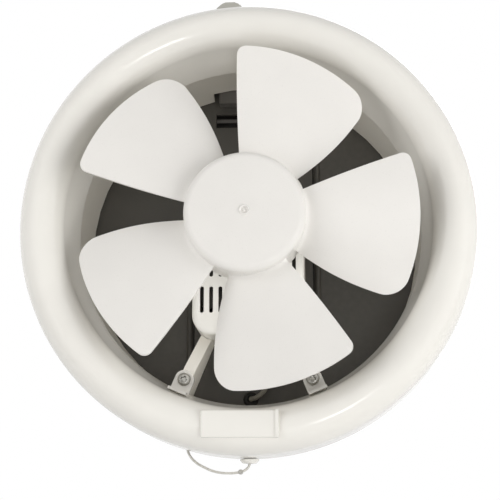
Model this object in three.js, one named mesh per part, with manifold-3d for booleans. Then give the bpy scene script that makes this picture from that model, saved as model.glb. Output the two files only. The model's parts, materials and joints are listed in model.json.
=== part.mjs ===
// Round wall exhaust fan with a pull-cord switch and a two-leaf shutter.
// Millimetres. The fan's axis is Y: the room lies towards -Y, outdoors towards +Y, and Z is up.
// The origin is on the axis, in the plane of the wall's face.
import * as THREE from 'three';
import { mergeVertices } from 'three/addons/utils/BufferGeometryUtils.js';
import Module from 'manifold-3d';

const wasm = await Module();
wasm.setup();

// Fits and cuts
const seatGap = 0.3;
const runGap = 0.4;
const overrun = 1;

// Facet counts
const ringFacets = 48;
const ductFacets = 48;
const rollSteps = 4;
const hubFacets = 28;
const roundFacets = 12;
const screwFacets = 8;
const cornerSteps = 2;
const slotSteps = 1;
const bladeCornerSteps = 3;
const leafSteps = 10;

// Front ring: a hollow-backed bell mouth
const throatRadius = 109;
const crestOut = 15.5;
const skirtOut = 13;
const ringWall = 2.4;
const ringRear = -7;
const crestFront = -54;
const outerRollDepth = 18;
const innerRollDepth = 14;

// Clips that hold the ring to the motor frame
const clipScrewInset = 9.5;
const clipSpread = THREE.MathUtils.degToRad(22.5);
const clipWidth = 11.5;
const clipThickness = 2;
const clipLegLength = 14;
const clipLegThickness = 1.6;
const lugThickness = 2.7;
const clipHeadRadius = 4.15;
const clipHeadHeight = 2.4;
const clipShankRadius = 1.6;
const clipShankDepth = 12;

// Motor frame: duct tube, flange, arms and rear cup in one moulding
const tubeWall = 2.6;
const tubeTaperFrom = 14;
const tubeTaper = 4.3;
const tubeRimGap = 1;
const notchGap = 3.5;
const frameFlangeWidth = 15;
const frameFlangeThickness = 3;
const armWidth = 7;
const armFront = -24;
const armRear = 14;
const armFlatLength = 7.5;
const postRadius = 4.5;
const postDepth = 14;

// Rear casing with its flange, gasket and ledges
const ductGap = 3;
const casingWall = 2.5;
const casingHood = 14;
const flangeWidth = 12.5;
const flangeThickness = 3;
const gasketThickness = 3;
const gasketInset = 1;
const ledgeHalf = 20;
const ledgeHeight = 7;
const ledgeDepth = 5;

// Middle panel of the shutter
const panelFront = 41;
const panelThickness = 3;
const panelGap = 0.7;
const panelRibHeight = 4;
const panelRibWidth = 2;
const panelWindowHalf = 25;
const panelWindowHeight = 9;
const panelScrewInset = 3.5;
const panelScrewHead = 2.3;
const panelScrewHeadHeight = 1.6;
const panelScrewShank = 1.2;

// Screws between the motor frame and the casing
const frameScrewOut = 1.8;
const frameScrewHead = 3.5;
const frameScrewHeadHeight = 2.2;
const frameScrewShank = 1.6;

// Motor
const motorHalf = 33.6;
const motorTop = 34;
const motorBottom = -65.5;
const motorTopCorner = 14;
const motorBottomCorner = 12;
const coverFront = -34;
const coverRear = -8;
const coverWall = 2;
const coverEdge = 3.5;
const cupRear = 16;
const cupWall = 2.2;
const coverHole = 9;
const slotWidth = 2.4;
const slotLength = 16;
const slotPitch = 5.5;
const slotRowPitch = 21.8;
const slotLowCentre = -44.7;
const slotColumns = 11;
const slotRows = 2;
const coverScrewInset = 11;
const coverScrewDrop = 7;
const coverScrewHead = 3;
const coverScrewHeadHeight = 1.8;
const coverScrewShank = 1.3;
const coverPostRadius = 3;
const coverScrewReach = 6;

const coreFront = -20;
const coreDepth = 18;
const coreInset = 4.6;
const coreTopInset = 14;
const coreBottomInset = 17.5;
const coreCorner = 4;
const rotorRadius = 15;
const airGap = 0.6;
const legHeight = 10;
const poleWidth = 12;
const poleHeight = 19;
const coilSideGap = 2.5;
const coilProud = 7;
const coilAbove = 8;
const coilBelow = 7.5;
const shaftRadius = 3;
const shaftFront = -67;
const shaftRear = 11;
const boltInset = 5;
const boltRadius = 1.5;
const boltHeadRadius = 3;
const boltHeadHeight = 2;
const bridgeThickness = 2;
const bridgeHalfHeight = 7;
const bridgeEnd = 4;
const bridgeStandoff = 7;
const bridgeLegRadius = 4;
const bushRadius = 5;
const bushLength = 6;

// Impeller
const tipGap = 7.6;
const bladeCount = 5;
const bladeFirst = THREE.MathUtils.degToRad(68.8);
const bladeThickness = 2;
const tipLeadAngle = THREE.MathUtils.degToRad(23.7);
const tipTrailAngle = THREE.MathUtils.degToRad(25);
const rootLeadAngle = THREE.MathUtils.degToRad(26.7);
const rootTrailAngle = THREE.MathUtils.degToRad(30.4);
const bladeMid = -60.5;
const rootPitchDepth = 9.4;
const tipPitchDepth = 22.2;
const bladeCamber = 3.4;
const trailingBow = 2.1;
const leadingCorner = 5;
const trailingCorner = 12;
const bladeRows = 5;
const bladeInnerShares = [-0.4, 0, 0.42];
const hubRadius = 36.4;
const hubRear = -43;
const hubFront = -76;
const hubCrown = 3.5;
const hubEdge = 8;
const hubWall = 2.2;
const hubButtonRadius = 3.2;
const hubButtonHeight = 0.8;
const crownOuterShares = [0.75, 0.5, 0.25];
const crownInnerShares = [0.4, 0.8];
const collarRadius = 7;
const collarRear = -40;
const ringClampThickness = 1.3;
const ringClampWidth = 3;

// Shutter leaves, their pins and the sliding bar
const leafGap = 1.5;
const leafThickness = 1.4;
const leafPivotX = 41.5;
const leafPivotDepth = 2;
const barrelRadius = 2.3;
const leafPinRadius = 1.2;
const leafEndInset = 12.5;
const pinBlockHalf = 3.2;
const pinCap = 1.2;
const hornLength = 9;
const hornWidth = 5;
const hornThickness = 2.6;
const hornRestAngle = THREE.MathUtils.degToRad(40);
const hornPinRadius = 1.2;
const hornNotch = 3.5;
const barDrop = 4.5;
const barThickness = 2.4;
const barStripWidth = 2.4;
const barTineWidth = 1.6;
const barCrossHalf = 2.5;

// Terminal box, lead outlet, grommet and motor lead
const boxLeft = -22.5;
const boxRight = 23;
const boxHeight = 14.5;
const boxDepth = 11;
const boxRimGap = 7;
const boxCorner = 4;
const boxClearance = 1;
const boxLidThickness = 2;
const boxWall = 1.8;
const boxScrewRadius = 2.4;
const boxScrewShank = 1.1;
const boxScrewReach = 7;
const outletX = -13;
const outletHeight = 23;
const outletBaseHalf = 9.25;
const outletTopHalf = 6.5;
const outletCorner = 4;
const outletThickness = 6;
const outletBore = 2;
const grommetX = -2;
const grommetInset = 8;
const grommetRadius = 5.1;
const grommetNeck = 3.4;
const grommetLip = 1.6;
const grommetBore = 2;
const leadRadius = 1.5;
const leadSteps = 22;
const leadBow = 10;
const leadRouteShares = [
  [0, 0.11, 0], [0.1, 0.24, 0.12], [0.4, 0.37, 0.33], [0.8, 0.5, 0.54], [1, 0.63, 0.75], [0.7, 0.76, 0.92],
  [0.15, 0.85, 0.99],
];

// Pull switch, slider, boss and cord
const switchHalf = 13;
const switchTopGap = 2.6;
const switchBottomGap = 5.6;
const switchFront = -32;
const switchCorner = 2.5;
const pullY = -13;
const sliderRadius = 1.3;
const sliderInside = 4;
const sliderGap = 2.1;
const bossRadius = 5.7;
const bossTipRadius = 4;
const bossHeight = 2.6;
const bossNeck = 3.5;
const bossNeckHeight = 4;
const bossBore = 1.9;
const cordDiameter = 1.5;
const cordSides = 8;
const dropSteps = 9;
const coilSides = 6;
const coilTurnSteps = 24;
const coilLayerTurns = 3.5;
const coilPitch = 2.05;
const coilMeanRadius = 8.25;
const coilSeat = THREE.MathUtils.degToRad(22);
const coilY = -21;
const coilTail = 8;
const coilRunIn = 8;
const climbStartShare = 0.25;
const shortTurnShare = 0.8;
const tieThickness = 0.7;
const tieWidth = 3;
const knotRadius = 1.8;

// Places that follow from the sizes above
const crestRadius = throatRadius + crestOut;
const ringRadius = crestRadius + skirtOut;
const skirtInner = ringRadius - ringWall;
const rollRear = crestFront + outerRollDepth;
const throatFront = crestFront + innerRollDepth;
const flangeRear = -gasketThickness;
const flangeFront = flangeRear - flangeThickness;
const frameFlangeRear = flangeFront - seatGap;
const frameFlangeFront = frameFlangeRear - frameFlangeThickness;
const throatRear = frameFlangeFront - seatGap;
const tubeInner = throatRadius + seatGap;
const tubeOuter = tubeInner + tubeWall;
const tubeRearInner = tubeInner - tubeTaper;
const tubeRear = panelFront - tubeRimGap;
const frameFlangeRadius = tubeOuter + frameFlangeWidth;
const casingInner = tubeOuter + ductGap;
const casingOuter = casingInner + casingWall;
const flangeRadius = casingOuter + flangeWidth;
const frameScrewCircle = casingOuter + frameScrewOut;
const clipScrewRadius = throatRadius - clipScrewInset;
const armFlatRadius = clipScrewRadius - armFlatLength;
const lugRear = armFront - seatGap;
const lugFront = lugRear - lugThickness;
const clipRear = lugFront - seatGap;
const clipFront = clipRear - clipThickness;
const clipOuter = throatRadius - 2 * seatGap;
const cupFront = coverRear + seatGap;
const coverScrewX = motorHalf - coverScrewInset;
const coverScrewZ = motorTop - coverScrewDrop;
const coreHalf = motorHalf - coreInset;
const coreTop = motorTop - coreTopInset;
const coreBottom = motorBottom + coreBottomInset;
const windowHalf = coreHalf - poleWidth;
const coilHalf = windowHalf - coilSideGap;
const boltX = coreHalf - boltInset;
const bridgeHalfLength = boltX + bridgeEnd;
const coreRear = coreFront + coreDepth;
const bridgeFront = coreFront - seatGap - bridgeStandoff - bridgeThickness;
const bridgeRear = coreRear + seatGap + bridgeStandoff + bridgeThickness;
const rotorBore = shaftRadius + seatGap;
const tipRadius = throatRadius - tipGap;
const panelRear = panelFront + panelThickness;
const panelRadius = casingInner - seatGap;
const panelHalf = leafPivotX - barrelRadius - panelGap;
const panelScrewZ = casingInner - panelScrewInset;
const ledgeFront = panelRear + seatGap;
const casingRear = panelRear + casingHood;
const leafPivotY = panelFront + leafPivotDepth;
const leafTop = casingInner - leafEndInset;
const leafRadius = casingInner - leafGap;
const pinReach = Math.sqrt(panelRadius ** 2 - leafPivotX ** 2) - pinCap;
const boxTop = casingInner - boxRimGap;
const boxBottom = boxTop - boxHeight;
const boxFront = panelFront - boxDepth;
const boxMidX = (boxLeft + boxRight) / 2;
const boxMidZ = (boxBottom + boxTop) / 2;
const barBottom = boxBottom - barDrop;
const barTop = barBottom + barThickness;
const hornLow = barBottom - runGap - hornThickness;
const panelWindowTop = boxBottom - runGap;
const grommetZ = grommetInset - tubeRearInner;
const outletTop = flangeRadius + outletHeight;
const switchTop = -throatRadius - ringWall - switchTopGap;
const switchBottom = switchBottomGap - skirtInner;
const sliderTop = switchTop - sliderInside;
const sliderBottom = sliderGap - skirtInner;

// Helpers: solids

/** A closed geometry as a solid that can be cut and joined. */
function solid(geometry) {
  const bare = geometry.clone();
  bare.deleteAttribute('normal');
  bare.deleteAttribute('uv');
  const merged = mergeVertices(bare);
  const index = merged.index.array;
  const kept = [];
  for (let i = 0; i < index.length; i += 3) {
    const [a, b, c] = [index[i], index[i + 1], index[i + 2]];
    if (a !== b && b !== c && c !== a) kept.push(a, b, c);
  }
  const vertProperties = new Float32Array(merged.attributes.position.array);
  return new wasm.Manifold(new wasm.Mesh({ numProp: 3, vertProperties, triVerts: new Uint32Array(kept) }));
}

/** Two places in rising order. */
function between(a, b) {
  return [Math.min(a, b), Math.max(a, b)];
}

/** The sum of several solids. */
function join(...solids) {
  return solids.reduce((sum, each) => sum.add(each));
}

/** The first solid less all the others. */
function cut(body, ...tools) {
  return tools.reduce((rest, each) => rest.subtract(each), body);
}

/** A solid's surface as a geometry. */
function surface(body) {
  const { numProp, vertProperties, triVerts } = body.getMesh();
  const geometry = new THREE.BufferGeometry();
  const positions = new Float32Array((vertProperties.length / numProp) * 3);
  for (let i = 0; i < positions.length / 3; i += 1) {
    for (let axis = 0; axis < 3; axis += 1) positions[3 * i + axis] = vertProperties[numProp * i + axis];
  }
  geometry.setAttribute('position', new THREE.BufferAttribute(positions, 3));
  geometry.setIndex(Array.from(triVerts));
  geometry.computeVertexNormals();
  return geometry;
}

/** Points on an elliptical arc, angles in turns of a circle. */
function arc(x, y, radiusX, radiusY, fromTurn, toTurn, steps = rollSteps) {
  const points = [];
  for (let i = 0; i <= steps; i += 1) {
    const angle = 2 * Math.PI * (fromTurn + ((toTurn - fromTurn) * i) / steps);
    points.push(new THREE.Vector2(x + radiusX * Math.cos(angle), y + radiusY * Math.sin(angle)));
  }
  return points;
}

/** Corner points, given as pairs. */
function corners(...pairs) {
  return pairs.map(([x, y]) => new THREE.Vector2(x, y));
}

/** A closed outline of radius and Y, turned about the Y axis. */
function turned(outline, facets = roundFacets) {
  const points = THREE.ShapeUtils.area(outline) > 0 ? [...outline] : [...outline].reverse();
  points.push(points[0].clone());
  return solid(new THREE.LatheGeometry(points, facets));
}

/** A plain ring between two radii and two places on Y. */
function ring(inner, outer, from, to, facets = roundFacets) {
  return turned(corners([inner, from], [outer, from], [outer, to], [inner, to]), facets);
}

/** A rod along Y. */
function rodY(radius, from, to, x = 0, z = 0, facets = roundFacets) {
  const geometry = new THREE.CylinderGeometry(radius, radius, to - from, facets);
  return solid(geometry.translate(x, (from + to) / 2, z));
}

/** A hole along Y for a screw's shank, right through from one face to another. */
function screwHole(shankRadius, from, to, x = 0, z = 0) {
  return rodY(shankRadius + seatGap, from - overrun, to + overrun, x, z, screwFacets);
}

/** A rod along Z. */
function rodZ(radius, from, to, x = 0, y = 0, facets = roundFacets) {
  const geometry = new THREE.CylinderGeometry(radius, radius, to - from, facets);
  return solid(geometry.rotateX(Math.PI / 2).translate(x, y, (from + to) / 2));
}

/** A block between two places on each axis. */
function block(x0, x1, y0, y1, z0, z1) {
  const geometry = new THREE.BoxGeometry(x1 - x0, y1 - y0, z1 - z0);
  return solid(geometry.translate((x0 + x1) / 2, (y0 + y1) / 2, (z0 + z1) / 2));
}

/** An outline of X and Z, between two places on Y. */
function plateY(shape, from, to, curveSegments = cornerSteps) {
  const geometry = new THREE.ExtrudeGeometry(shape, { depth: to - from, bevelEnabled: false, curveSegments });
  return solid(geometry.rotateX(Math.PI / 2).translate(0, to, 0));
}

/** An outline of X and Y, between two places on Z. */
function plateZ(shape, from, to) {
  const options = { depth: to - from, bevelEnabled: false, curveSegments: cornerSteps };
  const geometry = new THREE.ExtrudeGeometry(shape, options);
  return solid(geometry.translate(0, 0, from));
}

/** An outline of Y and Z, between two places on X. */
function plateX(shape, from, to) {
  return solid(surface(plateZ(shape, from, to)).rotateX(Math.PI / 2).rotateZ(Math.PI / 2));
}

/** A solid turned about the Y axis. */
function turnY(body, angle) {
  return solid(surface(body).rotateY(angle));
}

/** A rectangle with its own radius at the low and the high corners. */
function roundedOutline(x0, x1, z0, z1, lowRadius, highRadius = lowRadius) {
  const shape = new THREE.Shape();
  shape.absarc(x1 - lowRadius, z0 + lowRadius, lowRadius, -Math.PI / 2, 0);
  shape.absarc(x1 - highRadius, z1 - highRadius, highRadius, 0, Math.PI / 2);
  shape.absarc(x0 + highRadius, z1 - highRadius, highRadius, Math.PI / 2, Math.PI);
  shape.absarc(x0 + lowRadius, z0 + lowRadius, lowRadius, Math.PI, 1.5 * Math.PI);
  shape.closePath();
  return shape;
}

/** A tube of the given diameter along a curve. */
function sweep(path, diameter, sides, steps) {
  const shape = new THREE.Shape(arc(0, 0, diameter / 2, diameter / 2, 0, 1, sides).slice(0, sides));
  return new THREE.ExtrudeGeometry(shape, { steps, extrudePath: path, bevelEnabled: false });
}

// Finishes
const finishes = {
  ivory: { color: 0xe9e5dd, roughness: 0.22, metalness: 0 },
  ivorySatin: { color: 0xe6e1d6, roughness: 0.4, metalness: 0 },
  white: { color: 0xf0eee9, roughness: 0.4, metalness: 0 },
  clear: { color: 0xd8d4c8, roughness: 0.2, metalness: 0, transparent: true, opacity: 0.6 },
  grey: { color: 0x646260, roughness: 0.5, metalness: 0 },
  shutter: { color: 0x4b4841, roughness: 0.5, metalness: 0 },
  outlet: { color: 0xb4b2aa, roughness: 0.5, metalness: 0 },
  rubber: { color: 0x19160f, roughness: 0.8, metalness: 0 },
  gasket: { color: 0x2c2a28, roughness: 0.9, metalness: 0 },
  plated: { color: 0xc4c2bc, roughness: 0.3, metalness: 1 },
  iron: { color: 0x77746e, roughness: 0.5, metalness: 0.9 },
  winding: { color: 0x9a5a32, roughness: 0.5, metalness: 0.3 },
  brass: { color: 0xb08d4a, roughness: 0.4, metalness: 1 },
  cord: { color: 0xe4dfd4, roughness: 0.8, metalness: 0 },
};

const fan = new THREE.Group();

/** Adds one named piece to the fan. */
function add(name, body, finish) {
  const geometry = body.isBufferGeometry ? body : surface(body);
  const mesh = new THREE.Mesh(geometry, new THREE.MeshStandardMaterial(finishes[finish]));
  mesh.name = name;
  fan.add(mesh);
  return mesh;
}

// Front ring

/** The clip's and the lug's outline, at the foot of the throat, round at its inner end. */
function clipOutline(outer) {
  const shape = new THREE.Shape();
  const half = clipWidth / 2;
  shape.moveTo(half, -outer);
  shape.absarc(0, -clipScrewRadius, half, 0, Math.PI);
  shape.lineTo(-half, -outer);
  shape.closePath();
  return shape;
}

const clipAngles = { left: clipSpread, right: -clipSpread, top: Math.PI };

function frontRing() {
  const innerX = crestRadius - throatRadius;
  const outerX = ringRadius - crestRadius;
  const profile = [
    ...corners([skirtInner, ringRear], [ringRadius, ringRear]),
    ...arc(crestRadius, rollRear, outerX, outerRollDepth, 0, -0.25),
    ...arc(crestRadius, throatFront, innerX, innerRollDepth, -0.25, -0.5).slice(1),
    ...corners([throatRadius, throatRear], [throatRadius + ringWall, throatRear]),
    ...arc(crestRadius, throatFront, innerX - ringWall, innerRollDepth - ringWall, -0.5, -0.25),
    ...arc(crestRadius, rollRear, outerX - ringWall, outerRollDepth - ringWall, -0.25, 0).slice(1),
  ];
  let body = turned(profile, ringFacets);
  for (const angle of Object.values(clipAngles)) {
    const lug = plateY(clipOutline(throatRadius + ringWall / 2), lugFront, lugRear);
    const hole = rodY(clipShankRadius + seatGap, lugFront - overrun, lugRear + overrun, 0, -clipScrewRadius);
    body = body.add(turnY(cut(lug, hole), angle));
  }
  const cordHole = rodZ(bossNeck + seatGap, -ringRadius - overrun, -skirtInner + overrun, 0, pullY);
  return cut(body, cordHole);
}

function ringClip() {
  const plate = plateY(clipOutline(clipOuter), clipFront, clipRear);
  const half = clipWidth / 2;
  const legTop = -clipOuter + clipLegThickness;
  const leg = block(-half, half, clipRear - clipLegLength, clipRear, -clipOuter, legTop);
  const hole = rodY(clipShankRadius + seatGap, clipFront - overrun, clipRear + overrun, 0, -clipScrewRadius);
  return cut(join(plate, leg), hole);
}

/** A pan-head screw along Y: its head stands in front of the seat, its shank behind it. */
function screw(headRadius, headHeight, shankRadius, seat, tip, x = 0, z = 0) {
  const crown = headHeight / 2;
  const under = seat - seatGap;
  const profile = corners(
    [0, tip], [shankRadius, tip - shankRadius], [shankRadius, under], [headRadius, under],
    [headRadius, under - crown], [headRadius - crown, under - headHeight], [0, under - headHeight],
  );
  const points = THREE.ShapeUtils.area(profile) > 0 ? profile : profile.reverse();
  return solid(new THREE.LatheGeometry(points, screwFacets).translate(x, 0, z));
}

add('front_ring', frontRing(), 'ivory');
for (const [side, angle] of Object.entries(clipAngles)) {
  add(`ring_clip_${side}`, ringClip(), 'clear').rotation.y = angle;
  const tip = armFront + clipShankDepth - overrun;
  const clipScrew = screw(
    clipHeadRadius, clipHeadHeight, clipShankRadius, clipFront, tip, 0, -clipScrewRadius,
  );
  add(`clip_screw_${side}`, clipScrew, 'plated').rotation.y = angle;
}

// Motor frame

/** The outline shared by the motor's cover and cup, drawn in by a wall. */
function motorOutline(inset = 0) {
  const low = motorBottomCorner - inset;
  const high = motorTopCorner - inset;
  const half = motorHalf - inset;
  return roundedOutline(-half, half, motorBottom + inset, motorTop - inset, low, high);
}

const frameScrewPlaces = [0.125, 0.375, 0.625, 0.875].map((turn) => [
  frameScrewCircle * Math.cos(2 * Math.PI * turn),
  frameScrewCircle * Math.sin(2 * Math.PI * turn),
]);

/** The duct tube with its flange: straight behind the throat, then drawn in towards the shutter. */
function ductTube() {
  return turned([
    ...corners([tubeInner, frameFlangeFront], [frameFlangeRadius, frameFlangeFront]),
    ...corners([frameFlangeRadius, frameFlangeRear], [tubeOuter, frameFlangeRear]),
    ...corners([tubeOuter, tubeTaperFrom]),
    ...corners([tubeRearInner + tubeWall, tubeRear], [tubeRearInner, tubeRear], [tubeInner, tubeTaperFrom]),
  ], ductFacets);
}

/** An arm with its clip post, straight down: its front slopes from behind the cover to the clip. */
function frameArm(root) {
  const half = armWidth / 2;
  const inner = motorBottomCorner - root;
  const side = new THREE.Shape(corners(
    [armFront, -clipOuter], [armRear, -clipOuter], [armRear, inner], [cupFront, inner], [cupFront, -root],
    [armFront, -armFlatRadius],
  ));
  const inThroat = plateX(side, -half, half);
  const inTube = block(-half, half, frameFlangeFront, armRear, -tubeInner - tubeWall / 2, inner);
  const post = rodY(postRadius, armFront, armFront + postDepth, 0, -clipScrewRadius);
  const holeEnd = armFront + clipShankDepth;
  const hole = rodY(clipShankRadius + seatGap, armFront - overrun, holeEnd, 0, -clipScrewRadius);
  return cut(join(inThroat, inTube, post), hole);
}

function motorFrame() {
  let body = ductTube().add(plateY(motorOutline(), cupFront, cupRear));
  const coverRoom = plateY(motorOutline(-seatGap), armFront - overrun, cupFront);
  for (const angle of Object.values(clipAngles)) {
    const root = angle === Math.PI ? motorTop : -motorBottom;
    body = body.add(cut(turnY(frameArm(root), angle), coverRoom));
  }
  const hollow = plateY(motorOutline(cupWall), cupFront - overrun, cupRear - cupWall);
  const boxNotch = block(
    boxLeft - notchGap, boxRight + notchGap, boxFront - boxClearance, tubeRear + overrun,
    boxBottom - boxClearance, tubeOuter + overrun,
  );
  body = cut(body, hollow, boxNotch);
  const floor = cupRear - cupWall / 2;
  for (const side of [-1, 1]) {
    const pillar = rodY(bridgeLegRadius, bridgeRear + seatGap, floor, side * boltX);
    const boltEnd = cupRear - cupWall;
    const pillarHole = rodY(boltRadius + seatGap, bridgeRear, boltEnd, side * boltX, 0, screwFacets);
    const x = side * coverScrewX;
    const post = rodY(coverPostRadius, cupFront, floor, x, coverScrewZ, screwFacets);
    const postHole = screwHole(coverScrewShank, cupFront, cupFront + coverScrewReach, x, coverScrewZ);
    body = join(body, cut(pillar, pillarHole), cut(post, postHole));
  }
  for (const [x, z] of frameScrewPlaces) {
    body = cut(body, screwHole(frameScrewShank, frameFlangeFront, frameFlangeRear, x, z));
  }
  return cut(body, screwHole(leadRadius, cupRear - cupWall, cupRear, 0, motorBottom / 2));
}

add('motor_frame', motorFrame(), 'ivorySatin');

// Motor cover with its slots

function slotOutline(x, z) {
  const half = slotWidth / 2;
  const reach = slotLength / 2;
  return roundedOutline(x - half, x + half, z - reach, z + reach, half);
}

function motorCover() {
  const length = coverRear - coverFront;
  const blank = new THREE.ExtrudeGeometry(motorOutline(), {
    depth: length, curveSegments: cornerSteps, bevelSegments: cornerSteps,
    bevelThickness: coverEdge, bevelSize: coverEdge, bevelOffset: -coverEdge,
  });
  const outer = solid(blank.rotateX(Math.PI / 2).translate(0, coverFront + coverEdge + length, 0));
  const beyondRear = coverRear + length + 2 * coverEdge;
  const beyond = block(-2 * motorHalf, 2 * motorHalf, coverRear, beyondRear, 2 * motorBottom, 2 * motorTop);
  const hollow = plateY(motorOutline(coverWall), coverFront + coverWall, coverRear + overrun);
  let body = cut(outer, beyond, hollow);
  for (const side of [-1, 1]) {
    const x = side * coverScrewX;
    const post = rodY(coverPostRadius, coverFront + coverWall / 2, coverRear, x, coverScrewZ, screwFacets);
    body = cut(body.add(post), screwHole(coverScrewShank, coverFront, coverRear, x, coverScrewZ));
  }
  const slots = [];
  for (let row = 0; row < slotRows; row += 1) {
    for (let column = 0; column < slotColumns; column += 1) {
      const x = (column - (slotColumns - 1) / 2) * slotPitch;
      const outline = slotOutline(x, slotLowCentre + row * slotRowPitch);
      slots.push(plateY(outline, coverFront - overrun, coverFront + coverWall + overrun, slotSteps));
    }
  }
  const nose = rodY(coverHole, coverFront - overrun, coverFront + coverWall + overrun);
  return cut(body, nose, ...slots);
}

add('motor_cover', motorCover(), 'white');
for (const [name, side] of [['left', -1], ['right', 1]]) {
  const x = side * coverScrewX;
  const tip = cupFront + coverScrewReach;
  const coverScrew = screw(
    coverScrewHead, coverScrewHeadHeight, coverScrewShank, coverFront, tip, x, coverScrewZ,
  );
  add(`cover_screw_${name}`, coverScrew, 'plated');
}

// Motor works

function statorCore() {
  const outline = roundedOutline(-coreHalf, coreHalf, coreBottom, coreTop, coreCorner);
  const bore = rodY(rotorRadius + airGap, coreFront - overrun, coreRear + overrun, 0, 0, hubFacets);
  const window = block(
    -windowHalf, windowHalf, coreFront - overrun, coreRear + overrun, coreBottom + legHeight, -poleHeight,
  );
  const bolts = [-1, 1].map((side) => screwHole(boltRadius, coreFront, coreRear, side * boltX));
  return cut(plateY(outline, coreFront, coreRear), bore, window, ...bolts);
}

function statorCoil() {
  const legTop = coreBottom + legHeight;
  const outline = roundedOutline(
    -coilHalf, coilHalf, coreBottom - coilBelow, legTop + coilAbove, coilBelow / 2,
  );
  const body = plateY(outline, coreFront - coilProud, coreRear + coilProud);
  const leg = block(
    -windowHalf, windowHalf, coreFront - seatGap, coreRear + seatGap, coreBottom - seatGap, legTop + seatGap,
  );
  return cut(body, leg);
}

function bearingBridge(outerFace, coreFace) {
  const towards = Math.sign(coreFace - outerFace);
  const legFace = coreFace - towards * seatGap;
  const outline = roundedOutline(
    -bridgeHalfLength, bridgeHalfLength, -bridgeHalfHeight, bridgeHalfHeight, bridgeHalfHeight / 2,
  );
  let body = plateY(outline, ...between(outerFace, outerFace + towards * bridgeThickness));
  for (const side of [-1, 1]) {
    body = body.add(rodY(bridgeLegRadius, ...between(outerFace, legFace), side * boltX));
  }
  const holes = [-1, 1].map((side) => screwHole(boltRadius, ...between(outerFace, legFace), side * boltX));
  const [from, to] = between(outerFace, legFace);
  return cut(body, rodY(bushRadius + seatGap, from - overrun, to + overrun), ...holes);
}

/** A flanged bush whose flange lies on the bridge, on the rotor's side. */
function bush(outerFace, coreFace) {
  const towards = Math.sign(coreFace - outerFace);
  const inner = outerFace + towards * (bridgeThickness + seatGap);
  const lip = inner + towards * bridgeThickness;
  const bore = shaftRadius + seatGap;
  return turned(corners(
    [bore, outerFace - towards * (bushLength / 2)], [bushRadius, outerFace - towards * (bushLength / 2)],
    [bushRadius, inner], [bushRadius + bridgeThickness, inner],
    [bushRadius + bridgeThickness, lip], [bore, lip],
  ));
}

add('stator_core', statorCore(), 'iron');
add('stator_coil', statorCoil(), 'winding');
add('rotor', ring(rotorBore, rotorRadius, coreFront, coreRear, hubFacets), 'iron');
add('motor_shaft', rodY(shaftRadius, shaftFront, shaftRear), 'plated');
add('front_bridge', bearingBridge(bridgeFront, coreFront), 'plated');
add('rear_bridge', bearingBridge(bridgeRear, coreRear), 'plated');
add('front_bush', bush(bridgeFront, coreFront), 'brass');
add('rear_bush', bush(bridgeRear, coreRear), 'brass');
for (const [name, side] of [['left', -1], ['right', 1]]) {
  const tip = cupRear - cupWall - seatGap;
  const bolt = screw(boltHeadRadius, boltHeadHeight, boltRadius, bridgeFront, tip, side * boltX);
  add(`motor_bolt_${name}`, bolt, 'plated');
}

// Impeller

/** The place on one blade at a share of its span and of its half width, on one face of the sheet. */
function bladePoint(span, across, face) {
  const leading = across > 0;
  const corner = leading ? leadingCorner : trailingCorner;
  const tipAngle = leading ? tipLeadAngle : tipTrailAngle;
  const start = 1 - corner / (tipRadius * tipAngle);
  const over = Math.max(0, (Math.abs(across) - start) / (1 - start));
  const drop = corner * (1 - Math.sqrt(Math.max(0, 1 - over * over)));
  const root = hubRadius - hubWall / 2;
  const radius = root + span * (tipRadius - drop - root);
  const spanHere = (radius - root) / (tipRadius - root);
  const rootAngle = leading ? rootLeadAngle : rootTrailAngle;
  const halfAngle = THREE.MathUtils.lerp(rootAngle, tipAngle, spanHere);
  const bow = leading ? 0 : trailingBow * Math.sin(Math.PI * spanHere) * across;
  const angle = bladeFirst + across * halfAngle + bow / radius;
  const depth = THREE.MathUtils.lerp(rootPitchDepth, tipPitchDepth, spanHere);
  const middle = bladeMid - (across * depth) / 2 - bladeCamber * (1 - across * across) + bladeCamber / 2;
  const y = middle + (face * bladeThickness) / 2;
  return new THREE.Vector3(radius * Math.cos(angle), y, radius * Math.sin(angle));
}

/** Shares across the blade, close together where its tip corners turn. */
function bladeColumns() {
  const columns = [...bladeInnerShares];
  for (let i = 0; i <= bladeCornerSteps; i += 1) {
    const turn = 1 - Math.cos((Math.PI / 2) * (i / bladeCornerSteps));
    columns.push(-1 + (trailingCorner / (tipRadius * tipTrailAngle)) * turn);
    columns.push(1 - (leadingCorner / (tipRadius * tipLeadAngle)) * turn);
  }
  return [...new Set(columns)].sort((a, b) => a - b);
}

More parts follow.
